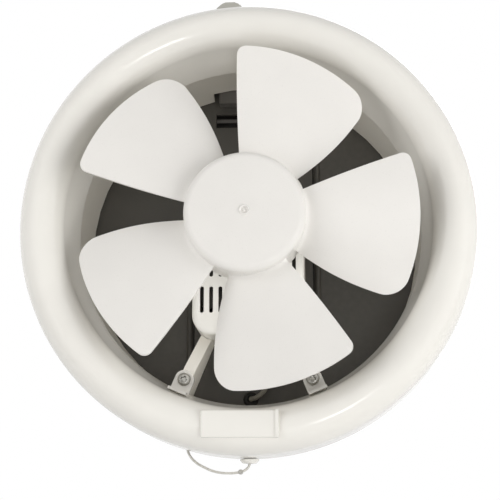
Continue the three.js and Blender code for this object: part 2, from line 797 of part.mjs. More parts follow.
/** One blade as a closed sheet. */
function blade() {
  const columns = bladeColumns();
  const rows = bladeRows;
  const width = columns.length;
  const positions = [];
  for (const face of [-1, 1]) {
    for (let row = 0; row <= rows; row += 1) {
      for (const across of columns) positions.push(...bladePoint(row / rows, across, face).toArray());
    }
  }
  const at = (side, row, column) => side * (rows + 1) * width + row * width + column;
  const index = [];
  const quad = (a, b, c, d) => index.push(a, b, c, a, c, d);
  for (let row = 0; row < rows; row += 1) {
    for (let column = 0; column < width - 1; column += 1) {
      quad(at(0, row, column), at(0, row + 1, column), at(0, row + 1, column + 1), at(0, row, column + 1));
      quad(at(1, row, column), at(1, row, column + 1), at(1, row + 1, column + 1), at(1, row + 1, column));
    }
    quad(at(0, row, 0), at(1, row, 0), at(1, row + 1, 0), at(0, row + 1, 0));
    quad(at(0, row, width - 1), at(0, row + 1, width - 1), at(1, row + 1, width - 1), at(1, row, width - 1));
  }
  for (let column = 0; column < width - 1; column += 1) {
    quad(at(0, 0, column), at(0, 0, column + 1), at(1, 0, column + 1), at(1, 0, column));
    quad(at(0, rows, column), at(1, rows, column), at(1, rows, column + 1), at(0, rows, column + 1));
  }
  const geometry = new THREE.BufferGeometry();
  geometry.setAttribute('position', new THREE.Float32BufferAttribute(positions, 3));
  geometry.setIndex(index);
  return solid(geometry);
}

/** The hub's outline: a shallow crown, a round edge and a straight wall, less one wall inside. */
function hubProfile() {
  const edgeY = hubFront + hubCrown;
  const flat = hubRadius - hubEdge;
  const crown = (radius, lift) => hubFront + lift + hubCrown * (radius / flat) ** 2;
  const onCrown = (share, lift) => new THREE.Vector2(flat * share, crown(flat * share, lift));
  const outer = crownOuterShares.map((share) => onCrown(share, 0));
  const inner = crownInnerShares.map((share) => onCrown(share, hubWall));
  return [
    ...corners([hubRadius - hubWall, hubRear], [hubRadius, hubRear]),
    ...arc(flat, edgeY + hubEdge, hubEdge, hubEdge, 0, -0.25),
    ...outer,
    ...corners([hubButtonRadius, crown(hubButtonRadius, 0)]),
    ...corners([hubButtonRadius, hubFront - hubButtonHeight], [0, hubFront - hubButtonHeight]),
    ...corners([0, collarRear], [collarRadius, collarRear], [collarRadius, crown(collarRadius, hubWall)]),
    ...inner,
    ...arc(flat, edgeY + hubEdge, hubEdge - hubWall, hubEdge - hubWall, -0.25, 0, 3),
  ];
}

function impeller() {
  const profile = hubProfile();
  const points = THREE.ShapeUtils.area(profile) > 0 ? profile : profile.reverse();
  const closed = [...points, points[0].clone()];
  let body = solid(new THREE.LatheGeometry(closed, hubFacets));
  const one = blade();
  for (let i = 0; i < bladeCount; i += 1) {
    body = body.add(turnY(one, (i * 2 * Math.PI) / bladeCount));
  }
  const roomFront = hubFront + hubCrown + hubEdge;
  const hubRoom = ring(collarRadius + overrun, hubRadius - hubWall, roomFront, collarRear, hubFacets);
  body = cut(body, hubRoom);
  return cut(body, rodY(shaftRadius + seatGap, shaftFront - seatGap, collarRear + overrun));
}

add('impeller', impeller(), 'ivory');
const clampFrom = collarRear - ringClampWidth - overrun;
const clampInner = collarRadius + seatGap;
const clamp = ring(clampInner, clampInner + ringClampThickness, clampFrom, collarRear - overrun);
add('impeller_clamp', clamp, 'plated');

// Rear casing: the duct's outer wall with its flange and two ledges for the shutter's panel

function rearCasing() {
  let body = turned([
    ...corners([casingInner, flangeFront], [flangeRadius, flangeFront], [flangeRadius, flangeRear]),
    ...corners([casingOuter, flangeRear], [casingOuter, casingRear], [casingInner, casingRear]),
  ], ductFacets);
  const ledgeRear = ledgeFront + ledgeDepth;
  const bounds = rodY(casingInner + casingWall / 2, ledgeFront, ledgeRear, 0, 0, ductFacets);
  for (const side of [-1, 1]) {
    const span = between(side * (casingInner - ledgeHeight), side * casingOuter);
    const ledge = block(-ledgeHalf, ledgeHalf, ledgeFront, ledgeRear, ...span).intersect(bounds);
    body = body.add(cut(ledge, screwHole(panelScrewShank, ledgeFront, ledgeRear, 0, side * panelScrewZ)));
  }
  for (const [x, z] of frameScrewPlaces) {
    body = cut(body, screwHole(frameScrewShank, flangeFront, flangeRear, x, z));
  }
  const leadNotch = block(
    outletX - outletBore, outletX + outletBore, flangeFront - overrun, flangeRear + overrun,
    casingOuter, flangeRadius + overrun,
  );
  return cut(body, leadNotch);
}

add('rear_casing', rearCasing(), 'outlet');
const gasketBore = casingOuter + gasketInset;
add('wall_gasket', ring(gasketBore, flangeRadius, flangeRear + seatGap, 0, ductFacets), 'gasket');
frameScrewPlaces.forEach(([x, z], i) => {
  const frameScrew = screw(
    frameScrewHead, frameScrewHeadHeight, frameScrewShank, frameFlangeFront, flangeRear, x, z,
  );
  add(`frame_screw_${i + 1}`, frameScrew, 'plated');
});

// Middle panel of the shutter, with a block for each end of both leaf pins

function shutterPanel() {
  const ribRear = panelRear + panelRibHeight;
  const bounds = rodY(panelRadius, panelFront - pinBlockHalf, ribRear, 0, 0, ductFacets);
  let body = block(-panelHalf, panelHalf, panelFront, panelRear, -panelRadius, panelRadius);
  for (const side of [-1, 1]) {
    const edge = side * (panelHalf - panelRibWidth);
    const ribTop = hornLow - 2 * runGap;
    body = body.add(block(
      edge - panelRibWidth / 2, edge + panelRibWidth / 2, panelRear - overrun, ribRear, -panelRadius, ribTop,
    ));
    const seatX = between(side * (panelHalf - pinBlockHalf), side * (leafPivotX + pinBlockHalf));
    for (const end of [-1, 1]) {
      const seatZ = between(end * (leafTop + seatGap), end * panelRadius);
      const seat = block(...seatX, leafPivotY - pinBlockHalf, leafPivotY + pinBlockHalf, ...seatZ);
      const holeZ = between(end * leafTop, end * pinReach);
      const pinHole = rodZ(leafPinRadius + seatGap, ...holeZ, side * leafPivotX, leafPivotY, screwFacets);
      body = cut(body.add(seat), pinHole);
    }
  }
  body = body.intersect(bounds);
  const front = panelFront - overrun;
  const rear = panelRear + overrun;
  const windowBottom = panelWindowTop - panelWindowHeight;
  const window = block(-panelWindowHalf, panelWindowHalf, front, rear, windowBottom, panelWindowTop);
  const grommetHole = rodY(grommetNeck + seatGap, front, rear, grommetX, grommetZ);
  const notches = [-1, 1].map((side) => block(
    ...between(side * (panelHalf - hornNotch), side * (panelHalf + overrun)), front, ribRear,
    hornLow - runGap, barBottom,
  ));
  for (const side of [-1, 1]) {
    body = cut(body, screwHole(panelScrewShank, panelFront, panelRear, 0, side * panelScrewZ));
  }
  return cut(body, window, grommetHole, ...notches);
}

add('shutter_panel', shutterPanel(), 'shutter');
for (const [name, side] of [['top', 1], ['bottom', -1]]) {
  const tip = ledgeFront + ledgeDepth;
  const panelScrew = screw(
    panelScrewHead, panelScrewHeadHeight, panelScrewShank, panelFront, tip, 0, side * panelScrewZ,
  );
  add(`panel_screw_${name}`, panelScrew, 'plated');
}

// Shutter leaves: each turns about an upright pin, and a horn with a peg moves with it

/** The leaf on one side; the left one's horn points outdoors, the right one's towards the room. */
function shutterLeaf(side) {
  const pivotX = side * leafPivotX;
  const edge = leafPivotX - barrelRadius;
  const blockEdge = leafPivotX + Math.SQRT2 * pinBlockHalf + 2 * seatGap;
  const lift = Math.sqrt(leafRadius ** 2 - blockEdge ** 2);
  const from = Math.atan2(lift, blockEdge);
  const shape = new THREE.Shape();
  shape.moveTo(edge, -leafTop);
  shape.lineTo(blockEdge, -leafTop);
  for (let i = 0; i <= leafSteps; i += 1) {
    const angle = -from + (2 * from * i) / leafSteps;
    shape.lineTo(leafRadius * Math.cos(angle), leafRadius * Math.sin(angle));
  }
  shape.lineTo(blockEdge, leafTop);
  shape.lineTo(edge, leafTop);
  shape.closePath();
  const halfSheet = leafThickness / 2;
  let body = plateY(shape, leafPivotY - halfSheet, leafPivotY + halfSheet);
  if (side < 0) body = turnY(body, Math.PI);
  const barrel = rodZ(barrelRadius, -leafTop, leafTop, pivotX, leafPivotY);
  const hornAngle = side < 0 ? Math.PI / 2 + hornRestAngle : 1.5 * Math.PI - hornRestAngle;
  const pegX = pivotX + hornLength * Math.cos(hornAngle);
  const pegY = leafPivotY + hornLength * Math.sin(hornAngle);
  const hornHalf = hornWidth / 2;
  const hornShape = roundedOutline(-hornHalf, hornLength + hornHalf, -hornHalf, hornHalf, hornHalf);
  const arm = surface(plateZ(hornShape, hornLow, hornLow + hornThickness));
  const placed = solid(arm.rotateZ(hornAngle).translate(pivotX, leafPivotY, 0));
  const peg = rodZ(hornPinRadius, hornLow + hornThickness / 2, barTop + runGap, pegX, pegY, screwFacets);
  const boreEnd = leafTop + overrun;
  const bore = rodZ(leafPinRadius + seatGap, -boreEnd, boreEnd, pivotX, leafPivotY, screwFacets);
  return cut(join(body, barrel, placed, peg), bore);
}

add('shutter_leaf_left', shutterLeaf(-1), 'shutter');
add('shutter_leaf_right', shutterLeaf(1), 'shutter');
for (const [name, side] of [['left', -1], ['right', 1]]) {
  const end = pinReach - seatGap;
  const pin = rodZ(leafPinRadius, -end, end, side * leafPivotX, leafPivotY, screwFacets);
  add(`leaf_pin_${name}`, pin, 'plated');
}

/** The bar that slides across the window, with a fork at each end for a leaf's peg. */
function shutterBar() {
  const slotHalf = hornPinRadius + seatGap;
  const innerTine = slotHalf + barTineWidth;
  const outerTine = slotHalf + barTineWidth / 2;
  const foot = hornLength * Math.cos(hornRestAngle) - slotHalf;
  const tip = hornLength + hornPinRadius;
  const slab = (x0, x1, near, far) => block(x0, x1, -far, -near, barBottom, barTop);
  const half = join(
    slab(-barCrossHalf, barCrossHalf, 0, foot),
    slab(0, leafPivotX, foot - barStripWidth, foot),
    slab(leafPivotX - innerTine, leafPivotX - slotHalf, foot - barStripWidth, tip),
    slab(leafPivotX, leafPivotX + outerTine, foot - barTineWidth / 2, foot),
    slab(leafPivotX + slotHalf, leafPivotX + outerTine, foot - barTineWidth / 2, tip),
  );
  const otherHalf = solid(surface(half).rotateZ(Math.PI));
  const middleX = -hornLength * Math.sin(hornRestAngle);
  return solid(surface(half.add(otherHalf)).translate(middleX, leafPivotY, 0));
}

add('shutter_bar', shutterBar(), 'grey');

// Terminal box on the middle panel, in the tube's notch

function terminalBox() {
  const rear = panelFront - seatGap;
  const lidRear = boxFront + boxLidThickness;
  const front = lidRear + seatGap;
  const body = plateY(roundedOutline(boxLeft, boxRight, boxBottom, boxTop, boxCorner), front, rear);
  const inner = roundedOutline(
    boxLeft + boxWall, boxRight - boxWall, boxBottom + boxWall, boxTop - boxWall, boxCorner - boxWall,
  );
  const hollow = plateY(inner, front - overrun, rear - boxWall);
  const post = rodY(2 * boxScrewRadius, front, rear - boxWall / 2, boxMidX, boxMidZ);
  const hole = rodY(
    boxScrewShank + seatGap, front - overrun, lidRear + boxScrewReach, boxMidX, boxMidZ, screwFacets,
  );
  return cut(join(cut(body, hollow), post), hole);
}

function terminalLid() {
  const lidRear = boxFront + boxLidThickness;
  const lid = plateY(roundedOutline(boxLeft, boxRight, boxBottom, boxTop, boxCorner), boxFront, lidRear);
  return cut(lid, screwHole(boxScrewShank, boxFront, lidRear, boxMidX, boxMidZ));
}

function lidScrew() {
  const tip = boxFront + boxScrewReach;
  return screw(boxScrewRadius, boxScrewRadius / 2, boxScrewShank, boxFront, tip, boxMidX, boxMidZ);
}

add('terminal_box', terminalBox(), 'grey');
add('terminal_lid', terminalLid(), 'grey');
add('lid_screw', lidScrew(), 'plated');

// Lead outlet above the ring, on the flange's rim

function leadOutlet() {
  const base = casingOuter;
  const shape = new THREE.Shape();
  shape.moveTo(outletX - outletBaseHalf, base);
  shape.lineTo(outletX + outletBaseHalf, base);
  shape.lineTo(outletX + outletBaseHalf, ringRadius);
  shape.lineTo(outletX + outletTopHalf, outletTop - outletCorner);
  const flat = outletTopHalf - outletCorner;
  shape.quadraticCurveTo(outletX + outletTopHalf, outletTop, outletX + flat, outletTop);
  shape.lineTo(outletX - flat, outletTop);
  const left = outletX - outletTopHalf;
  shape.quadraticCurveTo(left, outletTop, left, outletTop - outletCorner);
  shape.lineTo(outletX - outletBaseHalf, ringRadius);
  shape.closePath();
  const rear = -seatGap;
  const body = plateY(shape, rear - outletThickness, rear);
  const rimFront = rear - outletThickness - overrun;
  const rim = rodY(flangeRadius + seatGap, rimFront, rear + overrun, 0, 0, 2 * ductFacets);
  const boreY = rear - outletThickness / 2;
  return cut(body, rim, rodZ(outletBore, base, outletTop + overrun, outletX, boreY, screwFacets));
}

add('lead_outlet', leadOutlet(), 'outlet');

// Grommet in the middle panel, and the motor lead that runs into it

const grommetFront = panelFront - seatGap - grommetLip;

function leadGrommet() {
  const front = panelFront - seatGap;
  const rear = panelRear + seatGap;
  const profile = corners(
    [grommetBore, grommetFront], [grommetRadius - grommetLip / 2, grommetFront], [grommetRadius, front],
    [grommetNeck, front], [grommetNeck, rear], [grommetRadius, rear],
    [grommetRadius, rear + grommetLip], [grommetBore, rear + grommetLip],
  );
  return solid(surface(turned(profile)).translate(grommetX, 0, grommetZ));
}

/** The lead leaves the cup's rear wall, drops behind the motor and ends in the grommet. */
function motorLead() {
  const top = motorBottom / 2;
  const middle = leadRouteShares.map(([sideways, back, down]) => [
    leadBow * sideways,
    THREE.MathUtils.lerp(cupRear, grommetFront, back),
    THREE.MathUtils.lerp(top, grommetZ, down),
  ]);
  const points = [
    [0, cupRear - cupWall / 2, top], ...middle,
    [grommetX, grommetFront - leadRadius, grommetZ], [grommetX, panelFront, grommetZ],
  ].map((point) => new THREE.Vector3(...point));
  const path = new THREE.CatmullRomCurve3(points, false, 'centripetal');
  return sweep(path, 2 * leadRadius, cordSides, leadSteps);
}

add('lead_grommet', leadGrommet(), 'rubber');
add('motor_lead', motorLead(), 'cord');

// Pull switch and slider in the ring's hollow back, boss in the skirt

function pullSwitch() {
  const outline = roundedOutline(-switchHalf, switchHalf, switchBottom, switchTop, switchCorner);
  const body = plateY(outline, switchFront, throatRear);
  const holeTop = sliderTop + seatGap;
  const hole = rodZ(sliderRadius + seatGap, switchBottom - overrun, holeTop, 0, pullY, screwFacets);
  return cut(body, hole);
}

function cordBoss() {
  const seat = -ringRadius - seatGap;
  const profile = corners(
    [bossBore, seat - bossHeight], [bossTipRadius, seat - bossHeight], [bossRadius, seat - bossHeight / 3],
    [bossRadius, seat], [bossNeck, seat], [bossNeck, seat + bossNeckHeight],
    [bossBore, seat + bossNeckHeight],
  );
  return solid(surface(turned(profile)).rotateX(Math.PI / 2).translate(0, pullY, 0));
}

add('pull_switch', pullSwitch(), 'grey');
add('pull_slider', rodZ(sliderRadius, sliderBottom, sliderTop, 0, pullY, screwFacets), 'white');
add('cord_boss', cordBoss(), 'ivory');

// Pull cord: the drop out of the boss, the lead round the skirt's rear edge, and the coil behind the skirt

/** The point at a place along the skirt, given as an angle from straight down and a radius. */
function onSkirt(angle, radius, y) {
  return new THREE.Vector3(-radius * Math.sin(angle), y, -radius * Math.cos(angle));
}

const coilWidth = coilLayerTurns * coilPitch;
const coilOuter = coilMeanRadius + coilWidth / 2;
const coilInner = coilMeanRadius - coilWidth / 2;
const wallAtCoil = Math.sqrt(skirtInner ** 2 - (coilOuter + cordDiameter / 2) ** 2);
const lowLayer = wallAtCoil - 2 * seatGap - tieThickness - cordDiameter / 2;

/** A coil of two layers that spirals in on the skirt's wall, climbs, spirals out and ends in a tail. */
class CoilPath extends THREE.Curve {
  /** The point at a share of the way. */
  getPoint(share) {
    const turns = 2 * coilLayerTurns;
    const windLength = 2 * Math.PI * coilMeanRadius * turns;
    const total = windLength + coilTail;
    const turn = Math.min((share * total) / windLength, 1) * turns;
    const tail = Math.max(0, share * total - windLength);
    const inward = Math.min(turn, turns - turn);
    const radius = coilOuter - coilPitch * inward;
    const climb = THREE.MathUtils.clamp((turn - coilLayerTurns + climbStartShare) * 2, 0, 1);
    const height = coilPitch * climb * climb * (3 - 2 * climb);
    const angle = 2 * Math.PI * turn;
    const along = radius * Math.cos(angle);
    const y = coilY - radius * Math.sin(angle) - tail;
    const centre = onSkirt(coilSeat, lowLayer - height, y);
    return centre.add(new THREE.Vector3(along * Math.cos(coilSeat), 0, -along * Math.sin(coilSeat)));
  }
}

/** The least gap between stretches of a tube that lie at least one shortest turn apart along it. */
function leastGap(path, steps, diameter, skip) {
  const points = path.getSpacedPoints(steps);
  const pace = path.getLength() / steps;
  let least = Infinity;
  for (let i = 0; i < points.length; i += 1) {
    for (let j = i + Math.ceil(skip / pace); j < points.length; j += 1) {
      least = Math.min(least, points[i].distanceTo(points[j]));
    }
  }
  return least - diameter;
}

const coilPath = new CoilPath();
coilPath.arcLengthDivisions = 40 * coilTurnSteps;
const coilSteps = Math.ceil(2 * coilLayerTurns * coilTurnSteps + coilTurnSteps / 4);
const coilSkip = 2 * Math.PI * coilInner * shortTurnShare;
const coilGap = leastGap(coilPath, 6 * coilSteps, cordDiameter, coilSkip);
console.log(`pull_cord_coil: ${coilPath.getLength().toFixed(1)} mm, least gap ${coilGap.toFixed(2)} mm`);

const entry = coilPath.getPoint(0);
const dropPoints = [
  [0, pullY, sliderBottom - seatGap], [0, pullY, -137], [0, pullY, -139.6], [-0.5, pullY, -141.9],
  [-2.4, pullY, -144], [-5.4, pullY, -145.3], [-9, pullY, -145.9],
].map((point) => new THREE.Vector3(...point));
const leadPoints = [
  [-9.3, pullY, -145.9], [-13, -12.9, -146], [-18, -12.2, -145.6], [-23, -11, -144.3], [-27.5, -9.2, -142.3],
  [-31.3, -6.8, -140.2], [-34.4, -4.6, -137.8], [-36.8, -3.6, -134.8], [-38.2, -3.5, -131.3],
  [-38.6, -5.3, -128.5],
].map((point) => new THREE.Vector3(...point));
for (const runIn of [coilRunIn, coilRunIn / 2, seatGap]) {
  leadPoints.push(new THREE.Vector3(entry.x, entry.y + runIn, entry.z));
}
const dropPath = new THREE.CatmullRomCurve3(dropPoints, false, 'centripetal');
const leadPath = new THREE.CatmullRomCurve3(leadPoints, false, 'centripetal');
console.log(`pull_cord_drop: ${dropPath.getLength().toFixed(1)} mm`);
console.log(`pull_cord_lead: ${leadPath.getLength().toFixed(1)} mm`);

/** A closed band round the coil's turns, on the side away from the cord's entry. */
function cordTie() {
  const halfWidth = coilWidth / 2 + cordDiameter / 2 + seatGap;
  const top = coilPitch + cordDiameter / 2 + seatGap;
  const bottom = -cordDiameter / 2 - seatGap;
  const edge = halfWidth + tieThickness;
  const outer = roundedOutline(-edge, edge, bottom - tieThickness, top + tieThickness, tieThickness);
  const band = plateY(outer, -tieWidth / 2, tieWidth / 2);
  const room = block(-halfWidth, halfWidth, -tieWidth, tieWidth, bottom, top);
  const place = surface(cut(band, room)).translate(-coilMeanRadius, coilY, -lowLayer);
  return place.rotateY(coilSeat);
}

add('pull_cord_drop', sweep(dropPath, cordDiameter, cordSides, dropSteps), 'cord');
add('pull_cord_lead', sweep(leadPath, cordDiameter, cordSides, dropSteps * 2), 'cord');
add('pull_cord_coil', sweep(coilPath, cordDiameter, coilSides, coilSteps), 'cord');
add('cord_tie', cordTie(), 'clear');
const tailEnd = coilPath.getPoint(1);
const knot = new THREE.SphereGeometry(knotRadius, screwFacets, screwFacets / 2);
add('cord_knot', solid(knot.translate(tailEnd.x, tailEnd.y - seatGap - knotRadius, tailEnd.z)), 'cord');

export default fan;
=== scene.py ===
"""Looks of a round wall exhaust fan with a pull cord and a two-leaf shutter.

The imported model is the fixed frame: the fan's axis is Y, the room lies towards -Y and Z is up. Sizes in the
classes are millimetres, and meshes are metres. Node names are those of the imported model.
"""

from __future__ import annotations

import functools
import json
import logging
import math
from abc import ABC, abstractmethod
from collections.abc import Callable, Sequence
from dataclasses import dataclass, field
from enum import Enum

import bmesh
import bpy
from mathutils import Matrix, Vector

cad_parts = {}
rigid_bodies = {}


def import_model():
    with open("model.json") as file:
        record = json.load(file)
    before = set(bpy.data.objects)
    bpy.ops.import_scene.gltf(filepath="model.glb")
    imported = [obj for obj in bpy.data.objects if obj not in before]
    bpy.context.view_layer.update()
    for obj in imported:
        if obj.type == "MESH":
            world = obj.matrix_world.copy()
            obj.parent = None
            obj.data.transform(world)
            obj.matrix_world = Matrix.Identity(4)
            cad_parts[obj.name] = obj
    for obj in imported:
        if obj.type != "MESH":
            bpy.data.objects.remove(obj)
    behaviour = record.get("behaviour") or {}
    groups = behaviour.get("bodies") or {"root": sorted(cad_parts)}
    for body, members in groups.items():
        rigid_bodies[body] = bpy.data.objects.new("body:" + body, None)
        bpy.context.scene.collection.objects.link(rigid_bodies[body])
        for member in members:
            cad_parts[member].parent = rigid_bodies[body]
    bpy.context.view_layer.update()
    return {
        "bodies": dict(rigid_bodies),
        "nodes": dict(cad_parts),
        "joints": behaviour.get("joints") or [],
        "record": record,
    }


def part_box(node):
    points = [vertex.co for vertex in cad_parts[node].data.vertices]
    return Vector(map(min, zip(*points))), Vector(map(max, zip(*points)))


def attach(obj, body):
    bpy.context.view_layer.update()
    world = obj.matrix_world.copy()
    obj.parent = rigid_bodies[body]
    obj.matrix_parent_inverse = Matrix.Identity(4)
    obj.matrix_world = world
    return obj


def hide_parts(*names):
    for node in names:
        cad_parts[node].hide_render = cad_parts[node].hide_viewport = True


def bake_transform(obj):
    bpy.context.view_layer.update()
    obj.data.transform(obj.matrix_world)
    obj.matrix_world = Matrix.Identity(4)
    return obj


LOG = logging.getLogger("exhaust_fan")

MM = 0.001
TURN = math.tau
WELD = MM / 1000
OVERCUT = 1.0
SHARP = 50.0
ROUND_STEPS = 160
SMALL_STEPS = 40
WHITE_LEVEL = 255.0

Object = bpy.types.Object
Material = bpy.types.Material
Socket = bpy.types.NodeSocket
Outline = list[tuple[float, float]]
Colour = tuple[float, float, float]


class Body(Enum):
    """The bodies that pieces ride on."""

    ROOT = "root"
    ROTOR = "fan_rotor"
    RIGHT_LEAF = "right_leaf"
    LEFT_LEAF = "left_leaf"
    LINK_BAR = "link_bar"
    PULL = "pull"


class Slot(Enum):
    """The record's material slots."""

    GLOSS_IVORY = "gloss_ivory"
    IMPELLER_IVORY = "impeller_ivory"
    SATIN_IVORY = "satin_ivory"
    WHITE_PLASTIC = "white_plastic"
    CLEAR_PLASTIC = "clear_plastic"
    SHUTTER_GREY = "shutter_grey"
    BOX_GREY = "box_grey"
    OUTLET_GREY = "outlet_grey"
    BLACK_RUBBER = "black_rubber"
    GASKET_RUBBER = "gasket_rubber"
    PLATED_STEEL = "plated_steel"
    CORE_IRON = "core_iron"
    WINDING = "winding"
    BUSH_BRONZE = "bush_bronze"
    LEAD_WHITE = "lead_white"
    PULL_CORD = "pull_cord"


# Modelling by hand


def clear_selection() -> None:
    """Leaves edit mode and deselects every object."""
    if bpy.context.mode != "OBJECT":
        bpy.ops.object.mode_set(mode="OBJECT")
    bpy.ops.object.select_all(action="DESELECT")


def hold(piece: Object) -> Object:
    """Makes one object the only selected one and the active one.

    Args:
        piece: The object to hold.

    Returns:
        The same object.
    """
    clear_selection()
    piece.select_set(True)
    bpy.context.view_layer.objects.active = piece
    return piece


def settle(piece: Object, name: str) -> Object:
    """Names a piece and moves its place, turn and size into its mesh.

    Args:
        piece: The object to settle.
        name: The piece's new name.

    Returns:
        The same object, at the origin.
    """
    hold(piece)
    piece.name = name
    piece.data.name = name
    bpy.ops.object.transform_apply(location=True, rotation=True, scale=True)
    return piece


def edit(piece: Object) -> None:
    """Opens one object in edit mode."""
    hold(piece)
    bpy.ops.object.mode_set(mode="EDIT")


def merge_doubles() -> None:
    """Selects the whole open mesh and merges its doubles."""
    bpy.ops.mesh.select_all(action="SELECT")
    bpy.ops.mesh.remove_doubles(threshold=WELD)


def close_edit() -> None:
    """Merges doubles, turns the faces outwards and leaves edit mode."""
    merge_doubles()
    bpy.ops.mesh.delete_loose(use_verts=True, use_edges=True, use_faces=False)
    bpy.ops.mesh.select_all(action="SELECT")
    bpy.ops.mesh.normals_make_consistent(inside=False)
    bpy.ops.object.mode_set(mode="OBJECT")


def pick_vertices(piece: Object, test: Callable[[Vector], bool]) -> None:
    """Selects, in edit mode, the vertices that pass a test.

    Args:
        piece: The object in edit mode.
        test: Says whether a vertex at a place in the mesh is wanted.
    """
    bpy.ops.mesh.select_mode(type="VERT")
    bpy.ops.mesh.select_all(action="DESELECT")
    mesh = bmesh.from_edit_mesh(piece.data)
    for vertex in mesh.verts:
        vertex.select_set(test(vertex.co))
    mesh.select_flush_mode()
    bmesh.update_edit_mesh(piece.data)


def pick_edges(piece: Object, test: Callable[[Vector, Vector], bool]) -> None:
    """Selects, in edit mode, the edges whose two ends pass a test.

    Args:
        piece: The object in edit mode.
        test: Says whether an edge between two places in the mesh is wanted.
    """
    bpy.ops.mesh.select_mode(type="EDGE")
    bpy.ops.mesh.select_all(action="DESELECT")
    mesh = bmesh.from_edit_mesh(piece.data)
    for edge in mesh.edges:
        edge.select_set(test(edge.verts[0].co, edge.verts[1].co))
    bmesh.update_edit_mesh(piece.data)


def finish_edges(
    piece: Object, width: float, segments: int = 2, sharper_than: float = 32.0, smooth_below: float = 42.0
) -> Object:
    """Rounds a piece's sharp edges and shades it smoothly.

    Args:
        piece: The object to finish.
        width: The rounding's width in millimetres, or 0 for shading alone.
        segments: The rounding's segments.
        sharper_than: The least angle in degrees of an edge that is rounded.
        smooth_below: The angle in degrees below which two faces shade as one.

    Returns:
        The same object.
    """
    hold(piece)
    if width > 0:
        bevel = piece.modifiers.new("edges", "BEVEL")
        bevel.width = width * MM
        bevel.segments = segments
        bevel.limit_method = "ANGLE"
        bevel.angle_limit = math.radians(sharper_than)
        bpy.ops.object.modifier_apply(modifier=bevel.name)
    bpy.ops.object.shade_smooth_by_angle(angle=math.radians(smooth_below))
    weighted = piece.modifiers.new("shading", "WEIGHTED_NORMAL")
    weighted.keep_sharp = True
    bpy.ops.object.modifier_apply(modifier=weighted.name)
    return piece


def join(name: str, *parts: Object) -> Object:
    """Makes several objects one object.

    Args:
        name: The new piece's name.
        *parts: The objects, the first of which is kept.

    Returns:
        The joined object.
    """
    clear_selection()
    for part in parts:
        part.select_set(True)
    bpy.context.view_layer.objects.active = parts[0]
    bpy.ops.object.join()
    return settle(parts[0], name)


def carve(piece: Object, tool: Object, operation: str = "DIFFERENCE") -> Object:
    """Cuts a tool out of a piece, or adds it, and removes the tool.

    Args:
        piece: The object that is kept.
        tool: The object that is used up.
        operation: DIFFERENCE or UNION.

    Returns:
        The same object.
    """
    hold(piece)
    boolean = piece.modifiers.new("carve", "BOOLEAN")
    boolean.operation = operation
    boolean.solver = "EXACT"
    boolean.object = tool
    bpy.ops.object.modifier_apply(modifier=boolean.name)
    bpy.data.objects.remove(tool)
    return piece


def new_piece(name: str, mesh: bpy.types.Mesh) -> Object:
    """Puts a mesh into the scene as an object at the origin."""
    piece = bpy.data.objects.new(name, mesh)
    bpy.context.scene.collection.objects.link(piece)
    return piece


def again(source: Object, move: Matrix) -> Object:
    """A copy of a piece with its own mesh, moved by a matrix in metres."""
    copy = new_piece(source.name, source.data.copy())
    copy.data.transform(move)
    return copy


def arc(
    x: float, y: float, radius_x: float, radius_y: float, from_turn: float, to_turn: float, steps: int
) -> Outline:
    """Points on an elliptical arc.

    Args:
        x: The centre's first coordinate.
        y: The centre's second coordinate.
        radius_x: The first radius.
        radius_y: The second radius.
        from_turn: The first point's angle in turns.
        to_turn: The last point's angle in turns.
        steps: The number of steps between them.

    Returns:
        The points, both ends with them.
    """
    angles = [TURN * (from_turn + (to_turn - from_turn) * i / steps) for i in range(steps + 1)]
    return [(x + radius_x * math.cos(a), y + radius_y * math.sin(a)) for a in angles]


def spun(name: str, outline: Outline, steps: int = ROUND_STEPS, x: float = 0.0, z: float = 0.0) -> Object:
    """Spins a closed outline of radius and Y about a line along Y.

    Args:
        name: The piece's name.
        outline: Radius and Y of each corner, in millimetres.
        steps: The steps of one turn.
        x: The line's place on X.
        z: The line's place on Z.

    Returns:
        The closed round piece.
    """
    clear_selection()
    bpy.ops.mesh.primitive_plane_add(size=MM)
    piece = bpy.context.object
    bpy.ops.object.mode_set(mode="EDIT")
    bpy.ops.mesh.merge(type="CENTER")
    bpy.ops.transform.translate(value=(outline[0][0] * MM, outline[0][1] * MM, 0))
    for (r0, y0), (r1, y1) in zip(outline, [*outline[1:], outline[0]]):
        step = ((r1 - r0) * MM, (y1 - y0) * MM, 0)
        bpy.ops.mesh.extrude_vertices_move(TRANSFORM_OT_translate={"value": step})
    merge_doubles()
    bpy.ops.mesh.spin(steps=steps, angle=TURN, center=(0, 0, 0), axis=(0, 1, 0))
    close_edit()
    piece.location = (x * MM, 0, z * MM)
    return settle(piece, name)


def slab(name: str, low: Sequence[float], high: Sequence[float]) -> Object:
    """A block between two corners, which edge finishing or carving shapes further.

    Args:
        name: The piece's name.
        low: The lowest corner in millimetres.
        high: The highest corner in millimetres.

    Returns:
        The block.
    """
    clear_selection()
    centre = [(a + b) / 2 * MM for a, b in zip(low, high)]
    bpy.ops.mesh.primitive_cube_add(size=1, location=centre)
    piece = bpy.context.object
    piece.scale = [(b - a) * MM for a, b in zip(low, high)]
    return settle(piece, name)


def rod(
    name: str, radius: float, from_y: float, to_y: float, x: float, z: float, steps: int = SMALL_STEPS
) -> Object:
    """A rod along Y, in millimetres."""
    clear_selection()
    bpy.ops.mesh.primitive_cylinder_add(
        vertices=steps,
        radius=radius * MM,
        depth=(to_y - from_y) * MM,
        location=(x * MM, (from_y + to_y) / 2 * MM, z * MM),
        rotation=(math.pi / 2, 0, 0),
    )
    return settle(bpy.context.object, name)


def node_box(node: str) -> tuple[Vector, Vector]:
    """The lowest and the highest corner of a node's box, in millimetres."""
    low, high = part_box(node)
    return low / MM, high / MM


